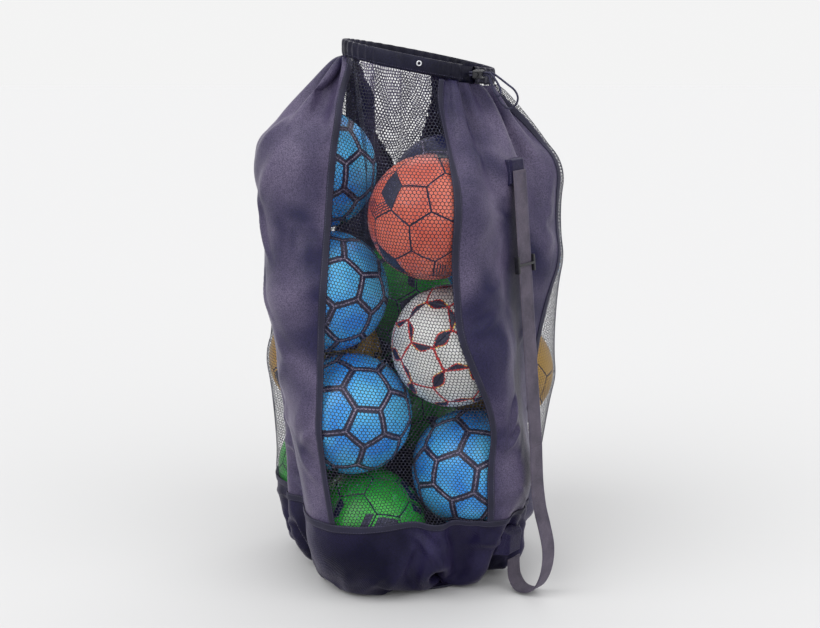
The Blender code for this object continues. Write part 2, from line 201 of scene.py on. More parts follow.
def srgb(r, g, b):
    """A picture's colour, 0 to 255, as linear light."""
    return tuple(
        c / 12.92 if c <= 0.04045 else ((c + 0.055) / 1.055) ** 2.4 for c in (r / 255, g / 255, b / 255)
    ) + (1.0,)


def mesh_object(name, vertices, faces, materials, material_of=None):
    """A smooth-shaded mesh. material_of gives each face's material by number."""
    me = bpy.data.meshes.new(name)
    me.from_pydata([tuple(map(float, v)) for v in vertices], [], [tuple(map(int, f)) for f in faces])
    for m in materials:
        me.materials.append(m)
    if material_of is not None:
        me.polygons.foreach_set("material_index", np.asarray(material_of, np.int32))
    me.polygons.foreach_set("use_smooth", np.ones(len(me.polygons), bool))
    me.update()
    o = bpy.data.objects.new(name, me)
    scene.collection.objects.link(o)
    return o


floor_material, floor_bsdf = new_material("floor")
floor_bsdf.inputs["Base Color"].default_value = (0.567, 0.567, 0.57, 1)
floor_bsdf.inputs["Specular IOR Level"].default_value = 0.0
floor_bsdf.inputs["Roughness"].default_value = 0.9
FLOOR_HALF, FLOOR_Z = 14, -0.0006
floor = mesh_object(
    "floor", [(x * FLOOR_HALF, y * FLOOR_HALF, FLOOR_Z) for x, y in ((-1, -1), (1, -1), (1, 1), (-1, 1))],
    [(0, 1, 2, 3)], [floor_material]
)
floor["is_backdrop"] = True

world = bpy.data.worlds.new("studio")
scene.world = world
world.use_nodes = True
world.node_tree.nodes["Background"].inputs[0].default_value = (1.0, 1.0, 1.0, 1)
world.node_tree.nodes["Background"].inputs[1].default_value = 0.90
scene.view_settings.view_transform = "Standard"


def soft_sun(name, azimuth, elevation, strength, spread):
    """A wide, even light that comes from that azimuth, 0 in front of the bag and 90 at its right."""
    data = bpy.data.lights.new(name, "SUN")
    data.energy, data.angle = strength, math.radians(spread)
    a, e = math.radians(azimuth), math.radians(elevation)
    way = Vector((math.sin(a) * math.cos(e), -math.cos(a) * math.cos(e), math.sin(e)))
    o = bpy.data.objects.new(name, data)
    o.rotation_mode = "QUATERNION"
    o.rotation_quaternion = (-way).to_track_quat("-Z", "Y")
    scene.collection.objects.link(o)


soft_sun("key", -48, 46, 1.5, 50)
soft_sun("fill", 42, 38, 1.0, 60)
soft_sun("rim", 165, 50, 0.6, 60)

# ---------------------------------------------------------------- the bag's wall, simulated as one tube of cloth

COLUMNS, ROWS = 224, 128
GIRTH = 1.735
FIRST = -120.6  # azimuth of column 0, which is the front window's left seam
CLEAR = BALL_R + 0.0042


def mouth_reach(theta):
    across = MOUTH_X * np.sin(theta)
    return MOUTH_X * np.cos(theta) + np.sqrt(MOUTH_R**2 - across**2)


def start_radius(theta, z):
    """The undisturbed wall with every ball pushing it out, a little larger than at rest."""
    top = MOUTH_Z + MOUTH_SLOPE * mouth_reach(theta) * np.cos(theta)
    t = np.clip((z - SHOULDER) / (top - SHOULDER), 0, 1)
    slack = WALL_R + (mouth_reach(theta) - WALL_R) * t ** (1.6 - 0.3 * np.cos(theta))
    low = np.clip(z / FOOT_TOP, 0, 1)
    slack = np.where(z < FOOT_TOP, FOOT_R + (WALL_R - FOOT_R) * np.sqrt(1 - (1 - low) ** 2), slack)
    total = np.exp(slack / 0.02)
    for c, size in (*((c, CLEAR + 0.004) for c in CENTRES), *POCKETS):
        along = c[0] * np.cos(theta) + c[1] * np.sin(theta)
        square = size**2 - (z - c[2]) ** 2
        across = c[0] ** 2 + c[1] ** 2 - along**2
        reach = np.where(square > across, along + np.sqrt(np.maximum(square - across, 0)), 0)
        total = total + np.exp(reach / 0.02)
    r = 0.02 * np.log(total)
    return FOOT_R + (r - FOOT_R) * np.sqrt(np.clip((z - BOOT_BOTTOM) / 0.055, 0, 1))


def mouth_azimuth(azimuth):
    """Where a column of the wall meets the mouth: the front panel lies nearly flat there, the rest is gathered."""
    return np.interp(
        azimuth, (-120.6, -62.4, -15.0, 43.0, 140.0, 190.0, 239.4), (-162, -73, -22, 36, 150, 173, 198)
    )


def simulate():
    """Position-based cloth: stretch, shear and fold limits between its points, with the balls, the floor and the
    strap in the way."""
    rng = np.random.default_rng(7)
    azimuth = FIRST + 360.0 * np.arange(COLUMNS) / COLUMNS
    theta = np.radians(azimuth)
    share = np.linspace(0, 1, 401)
    top = ring_point(mouth_azimuth(azimuth), 0.0, -HEM_HALF_H)
    z = BOOT_BOTTOM + (top[None, :, 2] - BOOT_BOTTOM) * share[:, None]
    turned = np.radians(
        azimuth + (mouth_azimuth(azimuth) - azimuth) * np.clip((share[:, None] - 0.74) / 0.26, 0, 1) ** 1.5
    )
    r = start_radius(theta[None, :] + 0 * z, z)
    profile = np.stack((r * np.cos(turned), r * np.sin(turned), z), axis=-1)
    profile[-1] = top
    blend = (np.clip((share - 0.93) / 0.07, 0, 1) ** 2)[:, None, None]
    profile = profile * (1 - blend) + (top[None] + (profile - profile[-1])) * blend
    lengths = np.concatenate(
        (np.zeros((1, COLUMNS)), np.cumsum(np.linalg.norm(np.diff(profile, axis=0), axis=2), axis=0))
    )
    p = np.zeros((ROWS, COLUMNS, 3))
    for i in range(COLUMNS):
        at = np.linspace(0, lengths[-1, i], ROWS)
        for k in range(3):
            p[:, i, k] = np.interp(at, lengths[:, i], profile[:, i, k])
    total = np.convolve(np.tile(lengths[-1], 3), np.ones(25) / 25, "same")[COLUMNS : 2 * COLUMNS]
    solid = np.zeros(COLUMNS)
    for low, high, kind in PANELS.values():
        if kind == "cloth":
            solid[(azimuth > low) & (azimuth < high)] = 1
    solid = np.convolve(np.tile(solid, 3), np.ones(7) / 7, "same")[COLUMNS : 2 * COLUMNS]
    upper = np.clip((p[:-1, :, 2].mean(axis=1) - 0.12) / 0.10, 0, 1)[:, None]
    slack = 0.925 + upper * (0.064 + 0.018 * solid[None])
    tall = (slack * (total / (ROWS - 1))[None])[:, :, None]
    height = p[:, :, 2].mean(axis=1)
    around = (
        np.interp(
            height, (0.0, 0.03, 0.06, 0.085, 0.115, 0.16, 0.21), (1.057, 1.14, 1.28, 1.40, 1.53, 1.66, GIRTH)
        ) / COLUMNS
    )
    wide = around[:, None, None]

    pleat = np.clip((np.arange(ROWS) / (ROWS - 1) - 0.80) / 0.2, 0, 1) ** 1.3
    phase = 2 * np.pi * 38 * np.arange(COLUMNS) / COLUMNS + 1.1 * np.sin(5 * theta)
    size = 0.011 * (0.75 + 0.25 * np.sin(3 * theta + 1)) * np.where((azimuth > -118) & (azimuth < -66), 0.25, 1.0)
    out = unit(p * (1, 1, 0))
    p += out * (pleat[:, None] * (size * np.sin(phase))[None, :])[:, :, None]
    coarse = rng.normal(0, 1, (ROWS // 8 + 2, COLUMNS // 8))
    noise = np.kron(coarse, np.ones((8, 8)))[:ROWS]
    for _ in range(12):
        noise = (
            noise + np.roll(noise, 1, 1) + np.roll(noise, -1, 1) + np.roll(noise, 1, 0) + np.roll(noise, -1, 0)
        ) / 5
    p += out * (0.004 * noise * (1 - pleat[:, None]))[:, :, None]
    fixed_top = p[-1].copy()
    fixed_low = p[:1].copy()
    last = p.copy()

    def pull(a, b, rest, stiff, only_short=False):
        d = b - a
        n = np.linalg.norm(d, axis=-1, keepdims=True)
        error = (n - rest) / np.maximum(n, 1e-9)
        if only_short:
            error = np.minimum(error, 0)
        return d * (0.5 * stiff * error)

    def along_columns(step, rest, stiff, only_short=False):
        for start in range(2 * step):
            rows = np.arange(start, ROWS - step, 2 * step)
            m = pull(p[rows], p[rows + step], rest[rows], stiff, only_short)
            p[rows] += m
            p[rows + step] -= m

    def around_rows(step, rest, stiff, only_short=False):
        for start in range(2 * step):
            cols = np.arange(start, COLUMNS, 2 * step)
            other = (cols + step) % COLUMNS
            m = pull(p[:, cols], p[:, other], rest, stiff, only_short)
            p[:, cols] += m
            p[:, other] -= m

    tall2 = tall[:-1] + tall[1:]
    tall2 = np.concatenate((tall2, tall2[-1:]))
    tall4 = 1.97 * tall2
    diagonal = np.sqrt(wide[:-1] ** 2 + tall**2)

    def shear(stiff):
        right = np.roll(p, -1, axis=1)
        m = pull(p[:-1], right[1:], diagonal, stiff * 0.5)
        p[:-1] += m
        p[1:] -= np.roll(m, 1, axis=1)
        right = np.roll(p, -1, axis=1)
        m = pull(p[1:], right[:-1], diagonal, stiff * 0.5)
        p[1:] += m
        p[:-1] -= np.roll(m, 1, axis=1)

    d_out, d_side = outward(STRAP_AZ), sideways(STRAP_AZ)

    def keep_out():
        for c, size in (*((c, CLEAR) for c in CENTRES), *POCKETS):
            d = p - c
            n = np.linalg.norm(d, axis=-1)
            inside = n < size
            if inside.any():
                p[inside] = c + d[inside] * (size / n[inside])[:, None]
                last[inside] += (p[inside] - last[inside]) * 0.5  # half of the push is lost to friction
        p[:, :, 2] = np.maximum(p[:, :, 2], BOOT_BOTTOM)
        aside = p @ d_side
        reach = p @ d_out
        share = (STRAP_TOP[1] - p[:, :, 2]) / (STRAP_TOP[1] - STRAP_LOW[1])
        limit = STRAP_TOP[0] + (STRAP_LOW[0] - STRAP_TOP[0]) * share - 0.0042
        over = (np.abs(aside) < 0.027) & (reach > limit) & (share > -0.08) & (share < 1.08)
        p[over] -= d_out * (reach - limit)[over][:, None]
        flat = np.linalg.norm(p[:, :, :2], axis=-1)
        widest = np.interp(p[:, :, 2], *WIDEST)
        far = flat > widest
        p[far, :2] *= (widest / flat)[far][:, None]

    steps = 260
    for step in range(steps):
        speed = (p - last) * 0.93
        last = p.copy()
        p = p + speed
        push = 0.00022 if step < steps * 0.45 else -0.00003
        p += unit(p * (1, 1, 0)) * push
        p[:, :, 2] -= 0.00007
        for _ in range(3):
            along_columns(1, tall, 1.0)
            around_rows(1, wide, 1.0)
            shear(0.7)
            around_rows(2, 2 * wide, 0.28, True)
            along_columns(2, tall2, 0.28, True)
            p[-1] = fixed_top
            p[:1] = fixed_low
        around_rows(4, 4 * wide * 0.97, 0.16, True)
        along_columns(4, tall4, 0.16, True)
        p[-1] = fixed_top
        p[:1] = fixed_low
        keep_out()
    for _ in range(2):
        middle = (np.roll(p, 1, 1) + np.roll(p, -1, 1))[1:-1] + p[:-2] + p[2:]
        p[1:-1] = 0.6 * p[1:-1] + 0.1 * middle
        keep_out()
    return p


GRID = simulate()

# ---------------------------------------------------------------- points on the wall

ROW = np.arange(ROWS)


def spline(t):
    """The four weights of a uniform cubic B-spline."""
    return (1 - t) ** 3 / 6, (3 * t**3 - 6 * t**2 + 4) / 6, (-3 * t**3 + 3 * t**2 + 3 * t + 1) / 6, t**3 / 6


def raw_surface(column, row):
    row = np.clip(row, 0, ROWS - 1)
    i, j = np.floor(column).astype(int), np.minimum(np.floor(row).astype(int), ROWS - 2)
    across, along = spline(column - i), spline(row - j)
    out = np.zeros(np.shape(column) + (3,))
    for b in range(4):
        rows = np.clip(j + b - 1, 0, ROWS - 1)
        for a in range(4):
            out += (across[a] * along[b])[..., None] * GRID[rows, (i + a - 1) % COLUMNS]
    return out


def surface(column, row, lift=0.0):
    """Points of the wall at those columns and rows of the cloth, raised by lift along the outward normal."""
    column, row = np.broadcast_arrays(np.asarray(column, float), np.asarray(row, float))
    p = raw_surface(column, row)
    if np.any(lift):
        across = raw_surface(column + 0.4, row) - raw_surface(column - 0.4, row)
        along = raw_surface(column, row + 0.4) - raw_surface(column, row - 0.4)
        p = p + unit(np.cross(across, along)) * np.asarray(lift)[..., None]
    return p


def column_of(azimuth):
    return (np.asarray(azimuth, float) - FIRST) / 360 * COLUMNS


WANDER = {  # how far three of the seams stray from upright, in columns, at shares of the height
    -120.6: ((0, 6.0), (0.2, 5.5), (0.33, 2.0), (0.45, 0), (0.68, 0), (0.80, -2), (0.90, -5), (0.96, -5), (1, -2)),
    -62.4: (
        (0, 9.0), (0.2, 8.5), (0.32, 5.5), (0.41, 3.4), (0.46, 5.2), (0.50, 5.2),
        (0.56, 1), (0.62, -3.4), (0.75, -3.2), (0.88, -1.5), (1, 0),
    ),
    -15.0: ((0, 0), (0.6, 0), (0.70, 2), (0.80, 7), (0.90, 11), (1, 9)),
}


def seam_column(azimuth, row):
    """The column of the seam at that azimuth, at each row."""
    turns = 1 if azimuth > 200 else 0
    places = WANDER.get(azimuth, WANDER.get(round(azimuth - 360, 1), ((0, 0), (1, 0))))
    x, y = zip(*places)
    share = np.asarray(row, float) / (ROWS - 1)
    stray = sum(np.interp(share + 0.012 * k, x, y) for k in range(-3, 4)) / 7
    return float(column_of(azimuth - 360 * turns)) + COLUMNS * turns + stray


def strayed(low, high, column, row):
    """Moves columns between two seams sideways, as much as the seams stray at that row."""
    a, b = float(column_of(low)), float(column_of(high))
    share = (column - a) / (b - a)
    return seam_column(low, row) * (1 - share) + seam_column(high, row) * share


def row_at(column, z):
    """The row where the wall is that high, smoothed round the bag."""
    rows = np.array([np.interp(z, np.maximum.accumulate(GRID[:, i, 2]), ROW) for i in range(COLUMNS)])
    smooth = sum(np.roll(rows, k) for k in range(-4, 5)) / 9
    return np.interp(np.asarray(column, float) % COLUMNS, np.arange(COLUMNS + 1), np.append(smooth, smooth[0]))


TOP_ROW = ROWS - 1.0
STEP = 0.0042  # the panels' mesh
CELL_W = GIRTH / COLUMNS
CELL_H = float(np.linalg.norm(np.diff(GRID, axis=0), axis=-1).sum(axis=0).mean() / (ROWS - 1))


creaser = np.random.default_rng(11)


def ridges(count, rows, slope, half, wide, high, bend):
    """Random ridges, each a column, row, angle, half length, width, height and bend, drawn between those limits."""
    return [
        (
            creaser.uniform(0, COLUMNS), creaser.uniform(*rows),
            math.radians(creaser.choice((1, -1)) * creaser.uniform(*slope)), creaser.uniform(*half),
            creaser.uniform(*wide), creaser.uniform(*high), creaser.uniform(*bend)
        )
        for _ in range(count)
    ]


CREASES = ridges(230, (4, ROWS - 12), (8, 68), (0.025, 0.085), (0.0055, 0.0150), (0.0018, 0.0068), (-5, 5))
FOLDS = ridges(58, (8, ROWS - 16), (14, 74), (0.08, 0.19), (0.010, 0.024), (0.005, 0.012), (-1.8, 1.8))
FOOT_ROWS = 26  # rows of the wall below the foot's binding


def beside_ridge(column, row, c, r, angle, bend):
    """How far those points are along a ridge from its middle, and across it."""
    x = ((column - c + COLUMNS / 2) % COLUMNS - COLUMNS / 2) * CELL_W
    y = (row - r) * CELL_H
    t = x * math.cos(angle) + y * math.sin(angle)
    return t, y * math.cos(angle) - x * math.sin(angle) + bend * t * t


def creased(column, row):
    """How far the stiff cloth's creases lift it at those points: soft ridges, each beside a shallow valley, and long
    sharp-edged folds."""
    lift = np.zeros(np.shape(column))
    for c, r, angle, half, wide, high, bend in CREASES:
        t, d = beside_ridge(column, row, c, r, angle, bend)
        fade = np.clip(1 - (t / half) ** 2, 0, 1) ** 1.5
        lift += high * fade * (np.exp(-((d / wide) ** 2)) - 0.45 * np.exp(-(((d - 1.7 * wide) / wide) ** 2)))
    off_floor = np.clip((row - 6) / 9, 0, 1)
    for c, r, angle, half, wide, high, bend in FOLDS:
        t, d = beside_ridge(column, row, c, r, angle, bend)
        fade = np.clip(1 - (t / half) ** 2, 0, 1)
        edge = np.where(d > 0, d / wide, -d / (2.6 * wide))
        lift += high * fade * off_floor * np.exp(-np.sqrt(edge**2 + 0.02))
    from_strap = np.abs(column - float(column_of(STRAP_AZ + 2))) * CELL_W - 0.028
    lift = lift * (0.25 + 0.75 * np.clip(from_strap / 0.02, 0, 1))
    most = np.where(row < FOOT_ROWS, 0.0075, 0.0019 + 0.0096 * np.clip(from_strap / 0.03, 0, 1))
    return np.clip(lift, -0.0024, most)


def set_uv(o, uv):
    """One UV per vertex."""
    layer = o.data.uv_layers.new(name="cloth")
    corner = np.zeros(len(o.data.loops), np.int32)
    o.data.loops.foreach_get("vertex_index", corner)
    layer.data.foreach_set("uv", np.asarray(uv, np.float32)[corner].ravel())


def grid_faces(rows, columns, closed=False, ring=False):
    """Squares between rows of points. closed joins each row's ends, and ring joins the last row to the first."""
    faces = []
    for j in range(rows if ring else rows - 1):
        low, high = j * columns, (j + 1) % rows * columns
        for i in range(columns if closed else columns - 1):
            k = (i + 1) % columns
            faces.append((low + i, low + k, high + k, high + i))
    return faces


def cloth_patch(name, low_column, high_column, low_row, high_row, material, closed=False, stray=None, hole=None):
    """Part of the wall as a smooth sheet. low_row is a row or a function of the column, as high_row is."""
    n = int(round((high_column - low_column) * CELL_W / STEP))
    across = np.linspace(low_column, high_column, n + 1)
    if closed:
        across = across[:-1]
    lo = low_row(across) if callable(low_row) else np.full(len(across), float(low_row))
    hi = high_row(across) if callable(high_row) else np.full(len(across), float(high_row))
    m = max(6, int(round(float((hi - lo).mean()) * CELL_H / STEP)))
    rows = lo + (hi - lo) * np.linspace(0, 1, m + 1)[:, None]
    columns = np.broadcast_to(across, rows.shape)
    fade = np.clip(np.minimum(rows - lo, hi - rows) * CELL_H / 0.02 - 0.3, 0, 1)
    if not closed:
        inset = np.minimum(columns - low_column, high_column - columns) * CELL_W
        fade = fade * np.clip(inset / 0.02 - 0.35, 0, 1)
    p = surface(stray(columns, rows) if stray else columns, rows, fade * creased(columns, rows))
    p[..., 2] = np.maximum(p[..., 2], 0.0005)  # no fold goes through the floor
    faces = np.array(grid_faces(m + 1, len(across), closed))
    used = np.arange(rows.size)
    if hole is not None:
        first = faces[:, 0]
        faces = faces[~hole(columns.ravel()[first] + 0.3, rows.ravel()[first] + 0.3)]
        used, faces = np.unique(faces, return_inverse=True)
        faces = faces.reshape(-1, 4)
    o = mesh_object(name, p.reshape(-1, 3)[used], faces, [material])
    if not closed:
        big = max(n * STEP, m * STEP)
        uv = np.stack(((columns - low_column) * CELL_W / big, (rows - lo.min()) * CELL_H / big), -1)
        set_uv(o, uv.reshape(-1, 2)[used])
    return o


NET_W, NET_THREAD, NET_RIDGE = 0.0062, 0.0012, 0.0004
NET_ROW, NET_CORNER = 0.8660254, 0.57735  # of a hole's width: from row to row, and from its middle to a corner


def net_patch(
    name, low_column, high_column, low_row, high_row, material, inside=None, stray=None, thread=NET_THREAD
):
    """Part of the wall as real netting: six-sided holes with a ridged thread between them."""
    width = (high_column - low_column) * CELL_W
    length = (high_row - float(np.mean(low_row(np.linspace(low_column, high_column, 20))))) * CELL_H
    n = int(round(width / NET_W))
    m = int(round(length / (NET_W * 0.866)))
    c, r = np.meshgrid(np.arange(n), np.arange(m))
    x = (c + 0.25 + 0.5 * (r % 2)).ravel()
    y = (r + 0.5).ravel() * NET_ROW
    angle = np.radians(30 + 60 * np.arange(6))
    share = 1 - thread / NET_W
    outer_x, inner_x = (x[:, None] + np.cos(angle) * NET_CORNER * k for k in (1, share))
    outer_y, inner_y = (y[:, None] + np.sin(angle) * NET_CORNER * k for k in (1, share))
    key = np.stack((np.round(outer_x * 4).ravel(), np.round(outer_y * 3.4641).ravel()), -1)
    _, first, where = np.unique(key, axis=0, return_index=True, return_inverse=True)
    where = where.reshape(outer_x.shape)
    vx = np.concatenate((outer_x.ravel()[first], inner_x.ravel()))
    vy = np.concatenate((outer_y.ravel()[first], inner_y.ravel()))
    lift = np.concatenate((np.full(len(first), NET_RIDGE), np.zeros(inner_x.size)))
    inner = len(first) + np.arange(inner_x.size).reshape(inner_x.shape)
    columns = low_column + np.clip(vx / n, 0, 1) * (high_column - low_column)
    low = low_row(columns)
    rows = low + (high_row - low) * np.clip(vy / (m * NET_ROW), 0, 1)
    faces = np.concatenate(
        [np.stack((where[:, k], where[:, (k + 1) % 6], inner[:, (k + 1) % 6], inner[:, k]), -1) for k in range(6)]
    )
    if inside is not None:
        keep = inside(columns[inner[:, 0]], rows[inner[:, 0]])
        faces = faces[np.tile(keep, 6)]
        used, faces = np.unique(faces, return_inverse=True)
        faces = faces.reshape(-1, 4)
        columns, rows, lift, vx, vy = (a[used] for a in (columns, rows, lift, vx, vy))
    o = mesh_object(name, surface(stray(columns, rows) if stray else columns, rows, lift), faces, [material])
    big = max(n, m * 0.866)
    set_uv(o, np.stack((vx / big, vy / big), -1))
    return o


TAPE_HALF_W, TAPE_CROWN, TAPE_THICK = 0.0065, 0.0006, 0.0009


def strip(columns, rows, widthwise, lift):
    """A tape along the wall through those columns and rows: its points, and how many go round it. widthwise is how
    columns and rows change per metre across it."""
    s = np.linspace(-1, 1, 5)
    side = np.concatenate((s, s[::-1]))
    height = np.concatenate((lift + TAPE_CROWN * (1 - s**2), np.full(len(s), lift - TAPE_THICK)))
    c = columns[:, None] + widthwise[0] * side[None, :] * TAPE_HALF_W
    r = rows[:, None] + widthwise[1] * side[None, :] * TAPE_HALF_W
    return surface(c, r, np.broadcast_to(height, c.shape)).reshape(-1, 3), len(side)


def capped(faces, count, length):
    """The same tube's faces with its two ends closed."""
    last = (length - 1) * count
    return faces + [tuple(range(count))[::-1]] + [tuple(last + k for k in range(count))]


def distance_along(points):
    return np.concatenate(([0], np.cumsum(np.linalg.norm(np.diff(points, axis=0), axis=1))))


def sampled(at, distance, values):
    """The values at those distances along a line."""
    return np.stack([np.interp(at, distance, values[:, k]) for k in range(3)], -1)


def stitches(points, normals, along, pitch, size=0.0007, share=0.62, rise=0.0004):
    """Short raised stitches along a line, as one set of points and faces."""
    distance = distance_along(points)
    n = max(2, int(distance[-1] / pitch))
    at = (np.arange(n) + 0.5) * distance[-1] / n
    centre = sampled(at, distance, points)
    up = unit(sampled(at, distance, normals))
    way = unit(sampled(at, distance, along))
    side = unit(np.cross(up, way))
    half = pitch * share / 2
    shape = ((-1, -0.5, 0), (-1, 0.5, 0), (1, 0.5, 0), (1, -0.5, 0), (-0.6, 0, 1), (0.6, 0, 1))
    v = np.concatenate(
        [centre + way * (a * half) + side * (b * size) + up * (c * rise) for a, b, c in shape]
    ).reshape(6, n, 3).transpose(1, 0, 2)
    corners = ((0, 3, 5, 4), (2, 1, 4, 5), (1, 0, 4), (3, 2, 5))
    f = [tuple(6 * k + i for i in face) for k in range(n) for face in corners]
    return v.reshape(-1, 3), f


def joined(parts):
    """Several (vertices, faces, material number) as one."""
    vertices, faces, numbers, base = [], [], [], 0
    for v, f, k in parts:
        vertices.append(np.asarray(v, float).reshape(-1, 3))
        faces += [tuple(i + base for i in face) for face in f]
        numbers += [k] * len(f)
        base += len(vertices[-1])
    return np.concatenate(vertices), faces, numbers


def dress(o, body, node):
    """The piece rides the body, in place of that CAD node."""
    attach(o, body)
    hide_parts(node)
    return o


# ---------------------------------------------------------------- materials


def coordinates(m, kind, scale=(1, 1, 1)):
    source = shader(m, "ShaderNodeTexCoord").outputs[kind]
    mapping = shader(m, "ShaderNodeMapping")
    mapping.inputs["Scale"].default_value = scale
    link(m, source, mapping.inputs["Vector"])
    return mapping.outputs[0]


def noise(m, where, scale, detail=3.0, roughness=0.55):
    n = shader(m, "ShaderNodeTexNoise")
    n.inputs["Scale"].default_value = scale
    n.inputs["Detail"].default_value = detail
    n.inputs["Roughness"].default_value = roughness
    link(m, where, n.inputs["Vector"])
    return n.outputs["Fac"]


def wave(m, where, direction, scale, distortion=0.0):
    w = shader(m, "ShaderNodeTexWave")
    w.bands_direction = direction
    w.inputs["Scale"].default_value = scale
    w.inputs["Distortion"].default_value = distortion
    link(m, where, w.inputs["Vector"])
    return w.outputs["Fac"]


def ramp(m, value, *stops):
    r = shader(m, "ShaderNodeValToRGB")
    elements = r.color_ramp.elements
    while len(elements) < len(stops):
        elements.new(0.5)
    for e, (at, colour) in zip(elements, stops):
        e.position, e.color = at, colour
    link(m, value, r.inputs[0])
    return r.outputs[0]


def maths(m, operation, a, b):
    n = shader(m, "ShaderNodeMath")
    n.operation = operation
    for k, x in enumerate((a, b)):
        if isinstance(x, (int, float)):
            n.inputs[k].default_value = x
        else:
            link(m, x, n.inputs[k])
    return n.outputs[0]


def mixed(m, factor, a, b, kind="MIX"):
    n = shader(m, "ShaderNodeMix")
    n.data_type, n.blend_type = "RGBA", kind
    for k, x in ((0, factor), (6, a), (7, b)):
        if isinstance(x, (int, float, tuple)):
            n.inputs[k].default_value = x
        else:
            link(m, x, n.inputs[k])
    return n.outputs[2]


def bump(m, bsdf, height, distance, strength=1.0):
    n = shader(m, "ShaderNodeBump")
    n.inputs["Distance"].default_value = distance
    n.inputs["Strength"].default_value = strength
    link(m, height, n.inputs["Height"])
    link(m, n.outputs[0], bsdf.inputs["Normal"])


def finish_of(bsdf, roughness, sheen=0.0, sheen_tint=(1, 1, 1, 1), coat=0.0, specular=0.5, sheen_roughness=0.5):
    bsdf.inputs["Roughness"].default_value = roughness
    bsdf.inputs["Sheen Weight"].default_value = sheen
    bsdf.inputs["Sheen Roughness"].default_value = sheen_roughness
    bsdf.inputs["Sheen Tint"].default_value = sheen_tint
    bsdf.inputs["Coat Weight"].default_value = coat
    bsdf.inputs["Specular IOR Level"].default_value = specular


def nylon(name, dark, light, gloss=0.22):
    """Packcloth: a plain weave with a purple-grey bloom. Its colour is painted shade and painted highlight: random
    patches from the dark to the light tone stand in for the shadows and lit faces of folds.
    """
    m, b = new_material(name)
    place = coordinates(m, "Object")
    # Random patches of painted highlight and painted shade, standing in for the light and shadow on the cloth's
    # folds
    painted_fold_shading = noise(m, place, 7.0, 2.0, 0.5)
    painted_fold_shading.node.inputs["Distortion"].default_value = 0.6
    grain = noise(m, place, 520.0, 2.0, 0.7)
    between = tuple(0.62 * a + 0.38 * b for a, b in zip(dark, light))
    base = ramp(m, painted_fold_shading, (0.34, dark), (0.47, between), (0.68, light))
    weft = ramp(m, grain, (0.36, (0.34, 0.34, 0.42, 1)), (0.60, (1, 1, 1, 1)))
    speckled = mixed(m, 1.0, base, weft, "MULTIPLY")
    link(m, speckled, b.inputs["Base Color"])
    across = wave(m, place, "Z", 260.0)
    along = wave(m, place, "DIAGONAL", 200.0)
    weave = maths(m, "MULTIPLY", across, along)
    creases = noise(m, place, 30.0, 5.0, 0.6)
    height = maths(m, "ADD", maths(m, "MULTIPLY", weave, 0.12), creases)
    bump(m, b, height, 0.0035, 0.55)
    finish_of(b, 0.37, 0.12, srgb(170, 155, 200), specular=gloss, sheen_roughness=0.35)
    return m


def net_material_painted_glints(name, deep, middle, bright):
    m, b = new_material(name)
    place = coordinates(m, "Object")
    grain = noise(m, place, 300.0, 2.0, 0.7)
    # The bright stop is painted glints: pale speckles that stand in for highlights on the thread. The deep and
    # middle stops are the thread's own colour.
    colour = ramp(m, grain, (0.44, deep), (0.60, middle), (0.74, bright))
    link(m, colour, b.inputs["Base Color"])
    bump(m, b, wave(m, place, "DIAGONAL", 900.0), 0.0002, 0.6)
    finish_of(b, 0.45, 0.08, srgb(170, 175, 210), specular=0.35)
    return m


def ribbed(name, dark, light, ribs, where="UV"):
    m, b = new_material(name)
    place = coordinates(m, "Object")
    grain = noise(m, place, 700.0, 2.0, 0.6)
    worn = noise(m, place, 22.0, 4.0, 0.6)
    share = maths(m, "ADD", maths(m, "MULTIPLY", grain, 0.45), maths(m, "MULTIPLY", worn, 0.55))
    link(m, ramp(m, share, (0.38, dark), (0.64, light)), b.inputs["Base Color"])
    rib = wave(m, coordinates(m, where), "X", ribs)
    cross = noise(m, place, 500.0, 1.0)
    bump(m, b, maths(m, "ADD", rib, maths(m, "MULTIPLY", cross, 0.5)), 0.0007, 0.8)
    finish_of(b, 0.6, 0.15, srgb(160, 150, 180), specular=0.3)
    return m


def plastic(name, colour, light):
    m, b = new_material(name)
    place = coordinates(m, "Object")
    grain = noise(m, place, 260.0, 3.0)
    link(m, ramp(m, grain, (0.35, colour), (0.75, light)), b.inputs["Base Color"])
    bump(m, b, noise(m, place, 900.0, 2.0), 0.00025, 0.5)
    rough = shader(m, "ShaderNodeMapRange")
    link(m, grain, rough.inputs[0])
    rough.inputs[3].default_value, rough.inputs[4].default_value = 0.34, 0.52
    link(m, rough.outputs[0], b.inputs["Roughness"])
    b.inputs["Specular IOR Level"].default_value = 0.5
    return m


def metal(name, colour):
    m, b = new_material(name)
    place = coordinates(m, "Object")
    grain = noise(m, place, 400.0, 3.0)
    light = tuple(min(1, c * 1.15) for c in colour[:3]) + (1,)
    link(m, ramp(m, grain, (0.3, colour), (0.7, light)), b.inputs["Base Color"])
    bump(m, b, grain, 0.0001, 0.5)
    b.inputs["Metallic"].default_value = 1.0
    b.inputs["Roughness"].default_value = 0.33
    return m


# Each nylon's second and third colours are its painted shade tone and its painted highlight tone
NYLON = nylon("nylon_panel", srgb(26, 22, 62), srgb(98, 89, 114))
BOOT = nylon("nylon_boot", srgb(4, 2, 34), srgb(42, 37, 70), 0.14)
TAPE = ribbed("seam_binding", srgb(13, 13, 32), srgb(28, 27, 50), 30.0)
THREAD = ribbed("stitching", srgb(40, 38, 62), srgb(84, 82, 106), 40.0)
HEM = nylon("nylon_hem", srgb(5, 5, 24), srgb(28, 28, 50), 0.16)
